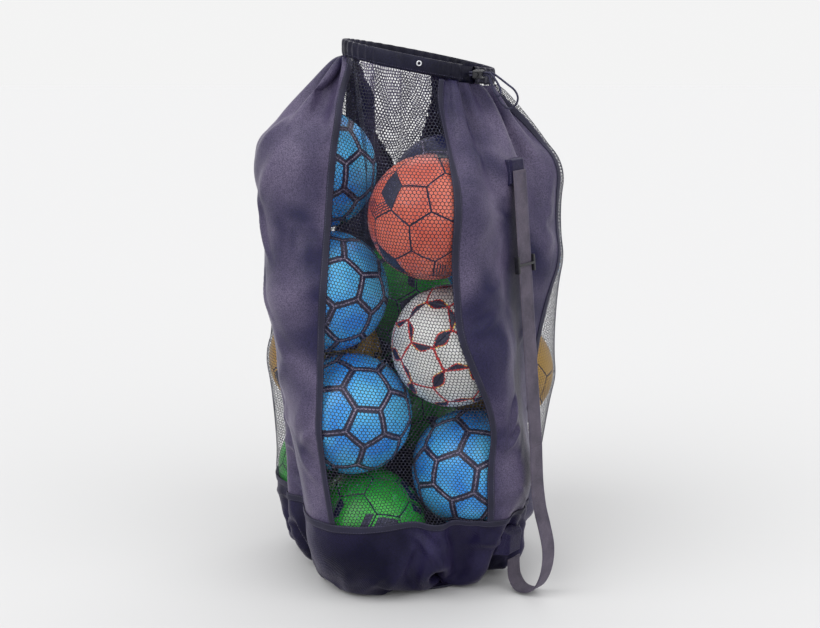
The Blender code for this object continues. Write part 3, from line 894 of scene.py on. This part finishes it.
# The last colour of each netting is the tone of its painted glints
NET = net_material_painted_glints("net_thread", srgb(10, 10, 26), srgb(24, 24, 46), srgb(120, 124, 150))
PALE_NET = net_material_painted_glints("pale_net_thread", srgb(104, 98, 122), srgb(138, 130, 156), srgb(176, 168, 192))
WEBBING = ribbed("webbing", srgb(46, 42, 54), srgb(88, 80, 94), 22.0)
CORD = ribbed("cord_braid", srgb(16, 16, 34), srgb(52, 52, 78), 60.0)
BLACK = plastic("black_plastic", srgb(14, 14, 18), srgb(34, 34, 42))
STEEL = metal("steel", (0.62, 0.63, 0.66, 1))

# ---------------------------------------------------------------- cords and the strap's loose end

BIG_LOOP = (
    (0.0025, 0.0024, 0.0024), (0.0200, 0.0024, 0.0024), (0.0370, 0.0024, 0.0024), (0.0430, 0.0027, 0.0020),
    (0.0540, 0.0035, -0.0050), (0.0690, 0.0045, -0.0160), (0.0830, 0.0055, -0.0270), (0.0890, 0.0060, -0.0400),
    (0.0850, 0.0055, -0.0530), (0.0740, 0.0050, -0.0590), (0.0620, 0.0050, -0.0520), (0.0510, 0.0040, -0.0360),
    (0.0425, 0.0030, -0.0160), (0.0370, 0.0024, -0.0024), (0.0200, 0.0024, -0.0024), (0.0025, 0.0024, -0.0024)
)
SMALL_LOOP = (
    (0.0025, -0.0024, 0.0024), (0.0200, -0.0024, 0.0024), (0.0370, -0.0024, 0.0024), (0.0440, -0.0035, -0.0010),
    (0.0550, -0.0060, -0.0140), (0.0620, -0.0080, -0.0270), (0.0600, -0.0085, -0.0360), (0.0530, -0.0075, -0.0330),
    (0.0470, -0.0055, -0.0230), (0.0415, -0.0035, -0.0120), (0.0370, -0.0024, -0.0024), (0.0200, -0.0024, -0.0024),
    (0.0025, -0.0024, -0.0024)
)
STRAP_LOOP = (
    (0.2925, 0.2850), (0.2944, 0.2500), (0.2975, 0.2100), (0.3040, 0.1700), (0.3150, 0.1330), (0.3230, 0.1000),
    (0.3230, 0.0700), (0.3160, 0.0400), (0.3020, 0.0160), (0.2830, 0.0060), (0.2640, 0.0085), (0.2520, 0.0240),
    (0.2485, 0.0450), (0.2490, 0.0620)
)


def frames_along(path, start_side):
    """Tangent, side and up at each point, turning as little as it can."""
    t = unit(np.gradient(path, axis=0))
    side = np.zeros_like(t)
    s = np.asarray(start_side, float)
    for i in range(len(t)):
        s = unit(s - t[i] * (s @ t[i]))
        side[i] = s
    return t, side, unit(np.cross(side, t))


def tube(path, side, up, radius, turn):
    """The points of a tube: radius at each point of the path and each turn round it."""
    return (
        path[:, None] + side[:, None] * (np.cos(turn)[None, :, None] * radius[..., None])
        + up[:, None] * (np.sin(turn)[None, :, None] * radius[..., None])
    ).reshape(-1, 3)


def braided_cord(name, route, node, strands=8, around=16):
    """One of the drawcord's hanging loops: a tube whose surface is plaited."""
    path = smooth_route([exit_point(*p) for p in route], 14)
    distance = distance_along(path)
    n = int(distance[-1] / 0.0007)
    at = np.linspace(0, distance[-1], n)
    path = sampled(at, distance, path)
    a = np.linspace(0, 2 * np.pi, around, endpoint=False)
    lay = at[:, None] / 0.011 * 2 * np.pi
    plait = np.abs(
        np.sin((a[None] * strands / 2 + lay * 2) / 2)
    ) + np.abs(np.sin((a[None] * strands / 2 - lay * 2) / 2))
    _, side, up = frames_along(path, sideways(CORD_AZ))
    v = tube(path, side, up, CORD_R * (0.93 + 0.06 * plait), a)
    o = mesh_object(name, v, capped(grid_faces(n, around, True), around, n), [CORD])
    dress(o, "cord_loops", node)


braided_cord("drawcord_big_loop_braid", BIG_LOOP, "drawcord_big_loop")
braided_cord("drawcord_small_loop_braid", SMALL_LOOP, "drawcord_small_loop")


def webbing(path, side, face):
    """The strap's webbing along a path: ribbed faces, rounded edges and a row of stitches near each edge."""
    s = np.linspace(-1, 1, 21)
    ribs = 0.00022 * np.abs(np.sin(s * np.pi * 5.0))
    edge = np.sqrt(np.clip(1 - np.abs(s) ** 10, 0, 1))
    top = (STRAP_T / 2 - 0.00022 + ribs) * (0.35 + 0.65 * edge)
    across = np.concatenate((s, s[::-1])) * STRAP_W / 2
    height = np.concatenate((top, -top[::-1]))
    v = path[:, None] + side[:, None] * across[None, :, None] + face[:, None] * height[None, :, None]
    k = len(across)
    parts = [(v, capped(grid_faces(len(path), k, True), k, len(path)), 0)]
    for edge_side in (-1, 1):
        line = path + side * edge_side * 0.0165 + face * (STRAP_T / 2 - 0.0001)
        parts.append((*stitches(line, face, np.gradient(path, axis=0), 0.0042), 1))
    return parts


def even_path(points, step):
    """The same line with points that far apart."""
    distance = distance_along(points)
    n = max(2, int(round(distance[-1] / step)) + 1)
    return sampled(np.linspace(0, distance[-1], n), distance, points)


loop_path = even_path(smooth_route([strap_point(r, z) for r, z in STRAP_LOOP], 12), 0.003)
flat_side = np.tile(sideways(STRAP_AZ), (len(loop_path), 1))
v, f, k = joined(webbing(loop_path, flat_side, unit(np.cross(np.gradient(loop_path, axis=0), flat_side))))
strap_end = mesh_object("strap_loop_webbing", v, f, [WEBBING, THREAD], k)
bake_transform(strap_end)
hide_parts("strap_loop")

# ---------------------------------------------------------------- panels, netting, boot and base


def boot_row(column):
    """The row of the foot band's top."""
    return row_at(column, BOOT_TOP + 0.001)


# The back panel's top is cut away in a V that is closed with netting.
V_LEFT, V_RIGHT, V_TIP, V_TIP_ROW = 79.0, 137.0, 96.0, 0.79


def in_v(column, row):
    share = (row / TOP_ROW - V_TIP_ROW) / (1 - V_TIP_ROW)
    tip = column_of(V_TIP)
    left = tip + (column_of(V_LEFT) - tip) * share
    right = tip + (column_of(V_RIGHT) - tip) * share
    return (share > 0) & (column > left) & (column < right)


def v_bottom(column):
    return np.full(np.shape(column), V_TIP_ROW * TOP_ROW - 1)


for name, (low, high, kind) in PANELS.items():
    a, b = float(column_of(low)), float(column_of(high))
    stray = partial(strayed, low, high)
    width = (b - a) * CELL_W
    if kind == "net":
        o = net_patch(name + "_netting", a, b, boot_row, TOP_ROW, NET, stray=stray)
        dress(o, "bag", name)
        continue
    hole = in_v if name == "back_panel" else None
    o = cloth_patch(name + "_nylon", a, b, boot_row, TOP_ROW, NYLON, stray=stray, hole=hole)
    if hole:
        net = net_patch("back_panel_vent_netting", a, b, v_bottom, TOP_ROW, PALE_NET, in_v, thread=0.0024)
        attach(net, "bag")
    dress(o, "bag", name)

boot = cloth_patch("boot_band_nylon", 0.0, float(COLUMNS), 0.0, boot_row, BOOT, closed=True)
dress(boot, "bag", "boot_band")


def tape(name, node, columns, rows, widthwise, lift, closed=False):
    """A binding along the wall with two rows of stitches. closed joins its ends, which lie in the same place."""
    v, count = strip(columns, rows, widthwise, lift)
    if closed:
        v, f = v[:-count], grid_faces(len(columns) - 1, count, True, True)
    else:
        f = capped(grid_faces(len(columns), count, True), count, len(columns))
    parts = [(v, f, 0)]
    for side in (-0.72, 0.72):
        c = columns + widthwise[0] * side * TAPE_HALF_W
        r = rows + widthwise[1] * side * TAPE_HALF_W
        top = lift + TAPE_CROWN * (1 - side * side)
        line = surface(c, r, np.full(len(c), top - 0.00005))
        high = surface(c, r, np.full(len(c), top + 0.001))
        parts.append((*stitches(line, high - line, np.gradient(line, axis=0), 0.0046), 1))
    v, f, k = joined(parts)
    dress(mesh_object(name, v, f, [TAPE, THREAD], k), "bag", node)


for name, azimuth in TAPES.items():
    rows = np.linspace(float(boot_row(np.array([float(column_of(azimuth))]))[0]) + 0.6, TOP_ROW, 170)
    tape(name + "_binding", name, seam_column(azimuth, rows), rows, (1 / CELL_W, 0), 0.0010)
columns = np.linspace(0, COLUMNS, 401)
tape("boot_seam_tape_binding", "boot_seam_tape", columns, boot_row(columns), (0, 1 / CELL_H), 0.0022, True)


def piping(inset, height, radius, around=12, count=360):
    """A closed cord round the foot, with a slight lay."""
    a = np.linspace(0, 2 * np.pi, count, endpoint=False)
    path = np.stack(((FOOT_R - inset) * np.cos(a), (FOOT_R - inset) * np.sin(a), 0 * a + height), -1)
    along = unit(np.roll(path, -1, 0) - np.roll(path, 1, 0))
    side = unit(np.cross(along, (0.0, 0.0, 1.0)))
    turn = np.linspace(0, 2 * np.pi, around, endpoint=False)
    r = radius * (0.95 + 0.05 * np.sin(turn[None] * 2 + a[:, None] * 160))
    v = tube(path, side, unit(np.cross(side, along)), r, turn)
    return mesh_object("base_piping_cord", v, grid_faces(count, around, True, True), [TAPE])


dress(piping(0.0025, 0.0029, 0.0025), "bag", "base_piping")

BASE_R, BASE_T, RINGS, SPOKES = 0.1625, 0.0023, 40, 144
R, A = np.meshgrid(np.linspace(0.02, 1, RINGS), np.linspace(0, 2 * np.pi, SPOKES, endpoint=False), indexing="ij")
dimple = 0.0003 * (1 + np.sin(9 * A + 6 * R) * np.sin(14 * R + 3 * A)) * np.sin(np.pi * R)
upper = np.stack((R * BASE_R * np.cos(A), R * BASE_R * np.sin(A), BASE_T - dimple), -1).reshape(-1, 3)
below = RINGS * SPOKES
rim = (RINGS - 1) * SPOKES
f = grid_faces(RINGS, SPOKES, True)
f += [tuple(i + below for i in face[::-1]) for face in f]
for i in range(SPOKES):
    k = (i + 1) % SPOKES
    f.append((rim + i, rim + i + below, rim + k + below, rim + k))
f += [tuple(range(SPOKES))[::-1], tuple(below + i for i in range(SPOKES))]
base = mesh_object("base_panel_nylon", np.concatenate((upper, upper * (1, 1, 0))), f, [BOOT])
dress(base, "bag", "base_panel")

# ---------------------------------------------------------------- hem, drawcord and eyelet

HEM_OPEN = 11.0  # degrees where the sleeve is open for the cords
HEM_START, HEM_END = EXIT + HEM_OPEN / 2, EXIT + 360 - HEM_OPEN / 2
a = np.linspace(HEM_START, HEM_END, 561)
k = np.linspace(0, 2 * np.pi, 28, endpoint=False)
# The sleeve is nearly smooth over the front window, and gathered elsewhere.
gather = 1 - 0.8 * np.exp(-(((a - 236) % 360 / 34.0) ** 2)) - 0.6 * np.exp(-(((a - 256) / 20.0) ** 2))
gather = np.clip(gather, 0.15, 1)
pleat = np.sin(np.radians(a) * 41 + 1.3 * np.sin(np.radians(a) * 5))
fold = 0.0017 * gather * pleat
hem_w = HEM_HALF_W * np.sign(-np.cos(k)) * np.abs(np.cos(k)) ** 0.8
hem_h = -HEM_HALF_H * np.sin(k)
sleeve = ring_point(
    a[:, None], hem_w[None] * (0.9 + 0.1 * pleat[:, None]) + fold[:, None] * (0.4 + 0.6 * np.abs(np.sin(k))[None]),
    hem_h[None] * (0.985 - 0.03 * gather[:, None] * (0.5 + 0.5 * pleat[:, None]))
)
facing_a = np.linspace(HEM_START - HEM_OPEN - 2.5, HEM_START + 2.5, 31)[:, None]
facing = ring_point(
    facing_a, HEM_HALF_W * np.array((-0.88, -0.62, -0.62, -0.88)) + 0 * facing_a,
    HEM_HALF_H * np.array((-1.12, -1.12, 0.86, 0.86)) + 0 * facing_a
)
v, f, _ = joined(
    (
        (sleeve, grid_faces(len(a), len(k), True), 0),
        (facing, capped(grid_faces(len(facing_a), 4, True), 4, len(facing_a)), 0)
    )
)
hem = mesh_object("hem_casing_nylon", v, f, [HEM])
seam = ring_point(a, HEM_HALF_W * 0.72 + fold * 0.7, -0.0098)
seam_up = ring_point(a, HEM_HALF_W * 0.72 + 0.002, -0.0102) - ring_point(a, HEM_HALF_W * 0.72, -0.0098)
v, f = stitches(seam, seam_up, np.gradient(seam, axis=0), 0.0042, rise=0.0006)
hem_stitch = mesh_object("hem_stitching", v, f, [THREAD])
dress(hem, "bag", "hem_casing")
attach(hem_stitch, "bag")

a = np.linspace(HEM_START, HEM_END, 900)
path = ring_point(a)
_, side, up = frames_along(path, (0, 0, 1))
k = np.linspace(0, 2 * np.pi, 12, endpoint=False)
plait = np.abs(np.sin(k[None] * 2 + a[:, None] * 1.2)) + np.abs(np.sin(k[None] * 2 - a[:, None] * 1.2))
v = tube(path, side, up, CORD_R * (0.93 + 0.05 * plait), k)
o = mesh_object("drawcord_braid", v, capped(grid_faces(len(a), len(k), True), len(k), len(a)), [CORD])
dress(o, "bag", "drawcord")

EYELET = (  # the ring's section: distance from its middle, and depth
    (0.0026, 0.0007), (0.0031, 0.0012), (0.0040, 0.0013), (0.0047, 0.0009),
    (0.0051, 0.0000), (0.0047, -0.0009), (0.0040, -0.0011), (0.0031, -0.0011), (0.0026, -0.0006),
)
middle = ring_point(-90.0, HEM_HALF_W + 0.0014, 0.003)
turns = np.linspace(0, 2 * np.pi, 40, endpoint=False)
v = [middle + (r * math.cos(t), -depth, r * math.sin(t)) for t in turns for r, depth in EYELET]
eyelet = mesh_object("hem_eyelet_grommet", v, grid_faces(len(turns), len(EYELET), True, True), [STEEL])
dress(eyelet, "bag", "hem_eyelet")

# ---------------------------------------------------------------- the balls


def leather(name, deep, bright, rough=0.36):
    m, b = new_material(name)
    place = coordinates(m, "Object")
    soft = noise(m, place, 14.0, 3.0)
    grain = noise(m, place, 900.0, 2.0)
    share = maths(m, "ADD", maths(m, "MULTIPLY", soft, 0.75), maths(m, "MULTIPLY", grain, 0.25))
    link(m, ramp(m, share, (0.36, deep), (0.62, bright)), b.inputs["Base Color"])
    bump(m, b, noise(m, place, 650.0, 3.0, 0.6), 0.0003, 0.5)
    finish_of(b, rough, specular=0.5, coat=0.12)
    return m


INK = leather("ball_dark_print", srgb(14, 16, 48), srgb(26, 28, 66), 0.4)
PALE = leather("ball_pale_line", srgb(96, 90, 122), srgb(168, 158, 184), 0.4)
BLUE = leather("ball_blue_panel", srgb(34, 140, 238), srgb(96, 206, 255))
ORANGE = leather("ball_orange_panel", srgb(208, 84, 62), srgb(232, 122, 98))
WHITE = leather("ball_white_panel", srgb(206, 206, 204), srgb(238, 238, 236))
GREEN = leather("ball_green_panel", srgb(24, 138, 36), srgb(48, 178, 56))
GOLD = leather("ball_gold_panel", srgb(166, 124, 40), srgb(200, 158, 66))
NAVY = leather("ball_navy_panel", srgb(20, 24, 66), srgb(36, 40, 92))
RED = leather("ball_red_print", srgb(196, 40, 40), srgb(222, 66, 58), 0.4)
YELLOW = leather("ball_yellow_print", srgb(224, 196, 64), srgb(240, 216, 96), 0.4)


def football_panels():
    """The corners, in order, of the twelve five-sided and twenty six-sided panels of a ball of radius 1."""
    g = (1 + 5**0.5) / 2
    tips = []
    for s in (-1, 1):
        for t in (-g, g):
            tips += [(0, s, t), (s, t, 0), (t, 0, s)]
    tips = unit(np.array(tips, float))
    gap = np.linalg.norm(tips[:, None] - tips[None], axis=-1)
    near = (gap > 0.1) & (gap < 1.2)
    out = []
    for i in range(12):
        around = np.flatnonzero(near[i])
        x = unit(np.cross(tips[i], (0.31, 0.52, 0.79)))
        y = np.cross(tips[i], x)
        order = sorted(around, key=lambda n: math.atan2(tips[n] @ y, tips[n] @ x))
        out.append(np.array([tips[i] + (tips[n] - tips[i]) / 3 for n in order]))
    for i in range(12):
        for j in range(i + 1, 12):
            for k in range(j + 1, 12):
                if near[i, j] and near[j, k] and near[i, k]:
                    a, b, c = (i, j, k)
                    if np.dot(np.cross(tips[b] - tips[a], tips[c] - tips[a]), tips[a]) < 0:
                        b, c = c, b
                    ring = []
                    for s, t in ((a, b), (b, c), (c, a)):
                        ring.append(tips[s] + (tips[t] - tips[s]) / 3)
                        ring.append(tips[t] + (tips[s] - tips[t]) / 3)
                    out.append(np.array(ring))
    return out


FOOTBALL = football_panels()


def print_of(style, sides, number, gap, share, edge):
    """Which finish a bit of a panel has. gap is how far it is from the seam in mm, and share is its place along that
    edge, 0 to 1."""
    if style in ("blue", "navy"):
        return 2 if gap < 1.2 else int(gap < 5.6)
    if style in ("green", "gold"):
        if gap < 1.3:
            return 1
        if sides == 5:
            return int(4.5 < gap < 19 and number % 3 != 0)
        return int(number % 2 and edge in (0, 3) and 3.0 < gap < 15 and abs(share - 0.5) < 0.42)
    if style == "orange":
        if gap < 1.5:
            return 1
        if sides == 5 or number % 3:
            return 0
        return int(edge in (1, 2) or (edge in (0, 5) and gap % 4.0 < 1.8))
    leaf = 8.5 * math.sin(math.pi * share) ** 1.2 if (edge + number) % 2 else 0.0
    if gap < leaf:
        return 2
    if gap < leaf + 2.0:
        return 1
    return 3 if leaf and gap < leaf + 3.6 and share > 0.6 else 0


FINISHES = {
    "blue": (BLUE, INK, PALE), "navy": (NAVY, INK, PALE), "green": (GREEN, INK), "gold": (GOLD, INK),
    "orange": (ORANGE, INK), "white": (WHITE, RED, INK, YELLOW)
}
TURNS = {  # degrees about x, y and z for the balls whose pattern shows
    "ball_upper_left": (20, 35, 10),
    "ball_upper_front": (64, 8, 40),
    "ball_middle_left": (0, 12, 200),
    "ball_middle_front": (30, -20, 75),
    "ball_lower_left": (50, 25, 130),
    "ball_lower_right": (-25, 40, 20),
    "ball_side_right": (10, 70, 60),
}
BANDS = {  # distances from the seam, in mm, where a panel's finish or height may change
    "orange": (0, 0.7, 1.5, 2.6, 4.0, 5.8, 8.0, 9.8, 12.0, 13.8, 16.0, 17.8, 20.0, 24.0, 30.0),
    "white": (0, 0.6, 1.3, 2.0, 3.0, 4.0, 5.0, 6.0, 7.0, 8.0, 9.0, 10.2, 12.0, 16.0, 22.0, 30.0),
}
PLAIN_BANDS = (0, 0.5, 1.2, 2.0, 3.2, 4.6, 5.6, 7.0, 10.0, 15.0, 19.0, 23.0, 30.0)


def football(name, number):
    style = BALLS[name][3]
    cuts = {"white": 10, "orange": 6}.get(style, 5)
    vertices, faces, numbers = [], [], []
    for panel, corners in enumerate(FOOTBALL):
        sides = len(corners)
        middle = corners.mean(axis=0)
        inside = 1000 * BALL_R * float(np.linalg.norm((corners[0] + corners[1]) / 2 - middle))
        gaps = [g for g in BANDS.get(style, PLAIN_BANDS) if g < inside - 2]
        t = np.arange(cuts)[:, None] / cuts
        rim = np.concatenate([c + (d - c) * t for c, d in zip(corners, np.roll(corners, -1, axis=0))])
        n, base = len(rim), sum(len(v) for v in vertices)
        for gap in gaps:
            ring = unit(middle + (rim - middle) * (1 - gap / inside))
            sink = 0.0014 * max(0.0, 1 - gap / 1.6) ** 1.5
            puff = 0.0004 * min(1.0, gap / 8)
            vertices.append(ring * (BALL_R - 0.0006 - sink + puff))
        vertices.append(unit(middle)[None] * (BALL_R - 0.0002))
        for j, (gap, far) in enumerate(zip(gaps, gaps[1:] + [inside])):
            a = base + j * n
            for i in range(n):
                k = (i + 1) % n
                innermost = j == len(gaps) - 1
                faces.append((a + i, a + k, a + n) if innermost else (a + i, a + k, a + n + k, a + n + i))
                within = (gap + min(far, gap + 4)) / 2
                numbers.append(print_of(style, sides, panel, within, (i % cuts + 0.5) / cuts, i // cuts))
    o = mesh_object(name + "_panels", np.concatenate(vertices), faces, FINISHES[style], numbers)
    turn = TURNS.get(name, (37 * number % 360, 53 * number % 180, 71 * number % 360))
    rotation = Matrix.Identity(3)
    for axis, degrees in zip("XYZ", turn):
        rotation = Matrix.Rotation(math.radians(degrees), 3, axis) @ rotation
    o.data.transform(rotation.to_4x4())
    o.location = ball_centre(name)
    dress(o, "bag", name)


for number, name in enumerate(BALLS):
    football(name, number)

# ---------------------------------------------------------------- strap, slider, patches and cord lock

taut = even_path(np.array([strap_point(*STRAP_TOP), strap_point(*STRAP_LOW)]), 0.003)
taut_side = np.tile(sideways(STRAP_AZ), (len(taut), 1))
taut_way = unit(taut[-1] - taut[0])
taut_face = np.tile(unit(np.cross(taut_way, sideways(STRAP_AZ))), (len(taut), 1))
if taut_face[0] @ outward(STRAP_AZ) < 0:
    taut_face = -taut_face


def box_x(middle, across, upward, face, half):
    """The stitched square with a cross that holds a strap's end."""
    corner = [middle + across * (a * half) + upward * (b * half) for a, b in ((-1, -1), (1, -1), (1, 1), (-1, 1))]
    out = []
    for a, b in ((0, 1), (1, 2), (2, 3), (3, 0), (0, 2), (1, 3)):
        line = np.linspace(corner[a], corner[b], 12)
        way = np.tile(corner[b] - corner[a], (12, 1))
        out.append((*stitches(line, np.tile(face, (12, 1)), way, 0.0036), 1))
    return out


top_middle = taut[0] + taut_way * 0.020 + taut_face[0] * (STRAP_T / 2)
parts = webbing(taut, taut_side, taut_face) + box_x(top_middle, sideways(STRAP_AZ), taut_way, taut_face[0], 0.0135)
v, f, k = joined(parts)
strap = mesh_object("strap_webbing_ribbed", v, f, [WEBBING, THREAD], k)
dress(strap, "bag", "strap_webbing")


def nearest_wall(points, lift):
    """The points of the wall, raised by lift, that lie nearest to these."""
    c, r = np.meshgrid(np.arange(0, COLUMNS, 0.5), np.arange(2, ROWS - 1, 0.5))
    p = surface(c, r, np.full(c.shape, lift)).reshape(-1, 3)
    p = p[np.linalg.norm(p - points.reshape(-1, 3).mean(axis=0), axis=1) < 0.07]
    out = []
    for q in points.reshape(-1, 3):
        d = np.linalg.norm(p - q, axis=1)
        k = np.argsort(d)[:10]
        w = 1 / (d[k] ** 2 + 1e-7)
        out.append((p[k] * w[:, None]).sum(axis=0) / w.sum())
    return np.array(out).reshape(points.shape)


def patch(name, node, reach, z, lean):
    """A cloth square that meets the wall along its edges and the strap in its middle."""
    n = 25
    s = np.linspace(-1, 1, n)
    A, B = np.meshgrid(s, s, indexing="xy")
    half = 0.0255
    up = np.array((0, 0, 1.0)) * math.cos(lean) - outward(STRAP_AZ) * math.sin(lean)
    flat = strap_point(reach, z) + sideways(STRAP_AZ) * (A * half)[..., None] + up * (B * half)[..., None]
    wall = nearest_wall(flat, 0.0030)
    near = np.clip((np.maximum(np.abs(A), np.abs(B)) - 0.70) / 0.30, 0, 1)
    near = (near * near * (3 - 2 * near))[..., None]
    middle = flat * (1 - near) + wall * near
    face = unit(np.cross(np.gradient(middle, axis=1), np.gradient(middle, axis=0)))
    if (face[n // 2, n // 2] @ outward(STRAP_AZ)) < 0:
        face = -face
    outer, inner = middle + face * 0.0008, middle - face * 0.0008
    grid = np.arange(n * n).reshape(n, n)
    rim = [*grid[0], *grid[1:, -1], *grid[-1, -2::-1], *grid[-2:0:-1, 0]]
    f = grid_faces(n, n)
    f += [tuple(i + n * n for i in face_below[::-1]) for face_below in f]
    f += [(a, a + n * n, b + n * n, b) for a, b in zip(rim, rim[1:] + rim[:1])]
    parts = [(np.concatenate((outer.reshape(-1, 3), inner.reshape(-1, 3))), f, 0)]
    span = slice(2, n - 2)  # the stitches run two points in from the edge
    for edge in ((2, span), (n - 3, span), (span, 2), (span, n - 3)):
        line = outer[edge]
        parts.append((*stitches(line, face[edge], np.gradient(line, axis=0), 0.0040), 1))
    v, f, k = joined(parts)
    o = mesh_object(name, v, f, [BOOT, THREAD], k)
    dress(o, "bag", node)


patch("strap_top_patch_cloth", "strap_top_patch", STRAP_TOP[0] - 0.0030, STRAP_TOP[1] - 0.001, 0.10)
patch("strap_bottom_patch_cloth", "strap_bottom_patch", 0.2510, 0.0900, -0.10)


def rounded_bar(start, end, half_a, half_b, axis_a, power=0.5, rings=10, around=20):
    """A bar with a rounded rectangular section and domed ends."""
    start, end = np.asarray(start, float), np.asarray(end, float)
    way = unit(end - start)
    axis_b = unit(np.cross(way, axis_a))
    k = np.linspace(0, 2 * np.pi, around, endpoint=False)
    ca, sa = np.cos(k), np.sin(k)
    x = np.sign(ca) * np.abs(ca) ** power
    y = np.sign(sa) * np.abs(sa) ** power
    length = float(np.linalg.norm(end - start))
    dome = min(half_a, half_b) * 0.6
    t = np.concatenate(
        (
            dome * (1 - np.cos(np.linspace(0, np.pi / 2, rings))),
            length - dome * (1 - np.cos(np.linspace(np.pi / 2, 0, rings)))
        )
    )
    s = np.concatenate((np.sin(np.linspace(0.35, np.pi / 2, rings)), np.sin(np.linspace(np.pi / 2, 0.35, rings))))
    v = (
        start + way * t[:, None, None] + axis_a * (x[None, :, None] * half_a * s[:, None, None])
        + axis_b * (y[None, :, None] * half_b * s[:, None, None])
    )
    return v.reshape(-1, 3), capped(grid_faces(len(t), around, True), around, len(t))


SLIDER_Z, SLIDER_W, SLIDER_H, SLIDER_BAR, SLIDER_RAIL = 0.615, 0.052, 0.030, 0.0045, 0.0105
share = (STRAP_TOP[1] - SLIDER_Z) / (STRAP_TOP[1] - STRAP_LOW[1])
middle = strap_point(STRAP_TOP[0] + share * (STRAP_LOW[0] - STRAP_TOP[0]), SLIDER_Z)
across, rising, facing = sideways(STRAP_AZ), -taut_way, taut_face[0]
gap = STRAP_T / 2 + SLIDER_BAR / 2 + 0.0006
thick = SLIDER_BAR / 2
rail, bar = rising * SLIDER_H / 2, across * (SLIDER_W / 2 - 0.001)
parts = []
for k in (-1, 1):
    c = middle + across * (SLIDER_W / 2 - thick) * k
    parts.append((*rounded_bar(c - rail, c + rail, thick, SLIDER_RAIL / 2, across), 0))
for out_by, up_by in ((-gap, SLIDER_H / 2 - thick), (-gap, thick - SLIDER_H / 2), (gap, 0.0)):
    c = middle + facing * out_by + rising * up_by
    parts.append((*rounded_bar(c - bar, c + bar, thick, thick, facing, 0.7), 0))
v, f, k = joined(parts)
dress(mesh_object("strap_slider_moulded", v, f, [BLACK]), "slider", "strap_slider")

for node, finish, width in (
    ("cord_lock_body", BLACK, 0.0009), ("cord_lock_button", BLACK, 0.0005), ("cord_lock_spring", STEEL, None)
):
    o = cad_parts[node]
    o.data.materials.clear()
    o.data.materials.append(finish)
    if width:
        bevel = o.modifiers.new("rounded_edges", "BEVEL")
        bevel.width, bevel.segments = width, 3
        bevel.limit_method, bevel.angle_limit = "ANGLE", math.radians(40)
parts = []
for k in range(5):
    out_by = 0.0125 + 0.0026 + k * 0.0027
    for up_by in (-0.0071, 0.0071):
        a, b = exit_point(out_by, -0.0145, up_by), exit_point(out_by, 0.0035, up_by)
        parts.append((*rounded_bar(a, b, 0.0006, 0.0007, np.array((0, 0, 1.0)), 0.8, 4, 10), 0))
v, f, k = joined(parts)
grips = mesh_object("cord_lock_grip_ribs", v, f, [BLACK])
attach(grips, "cord_lock")

low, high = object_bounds()
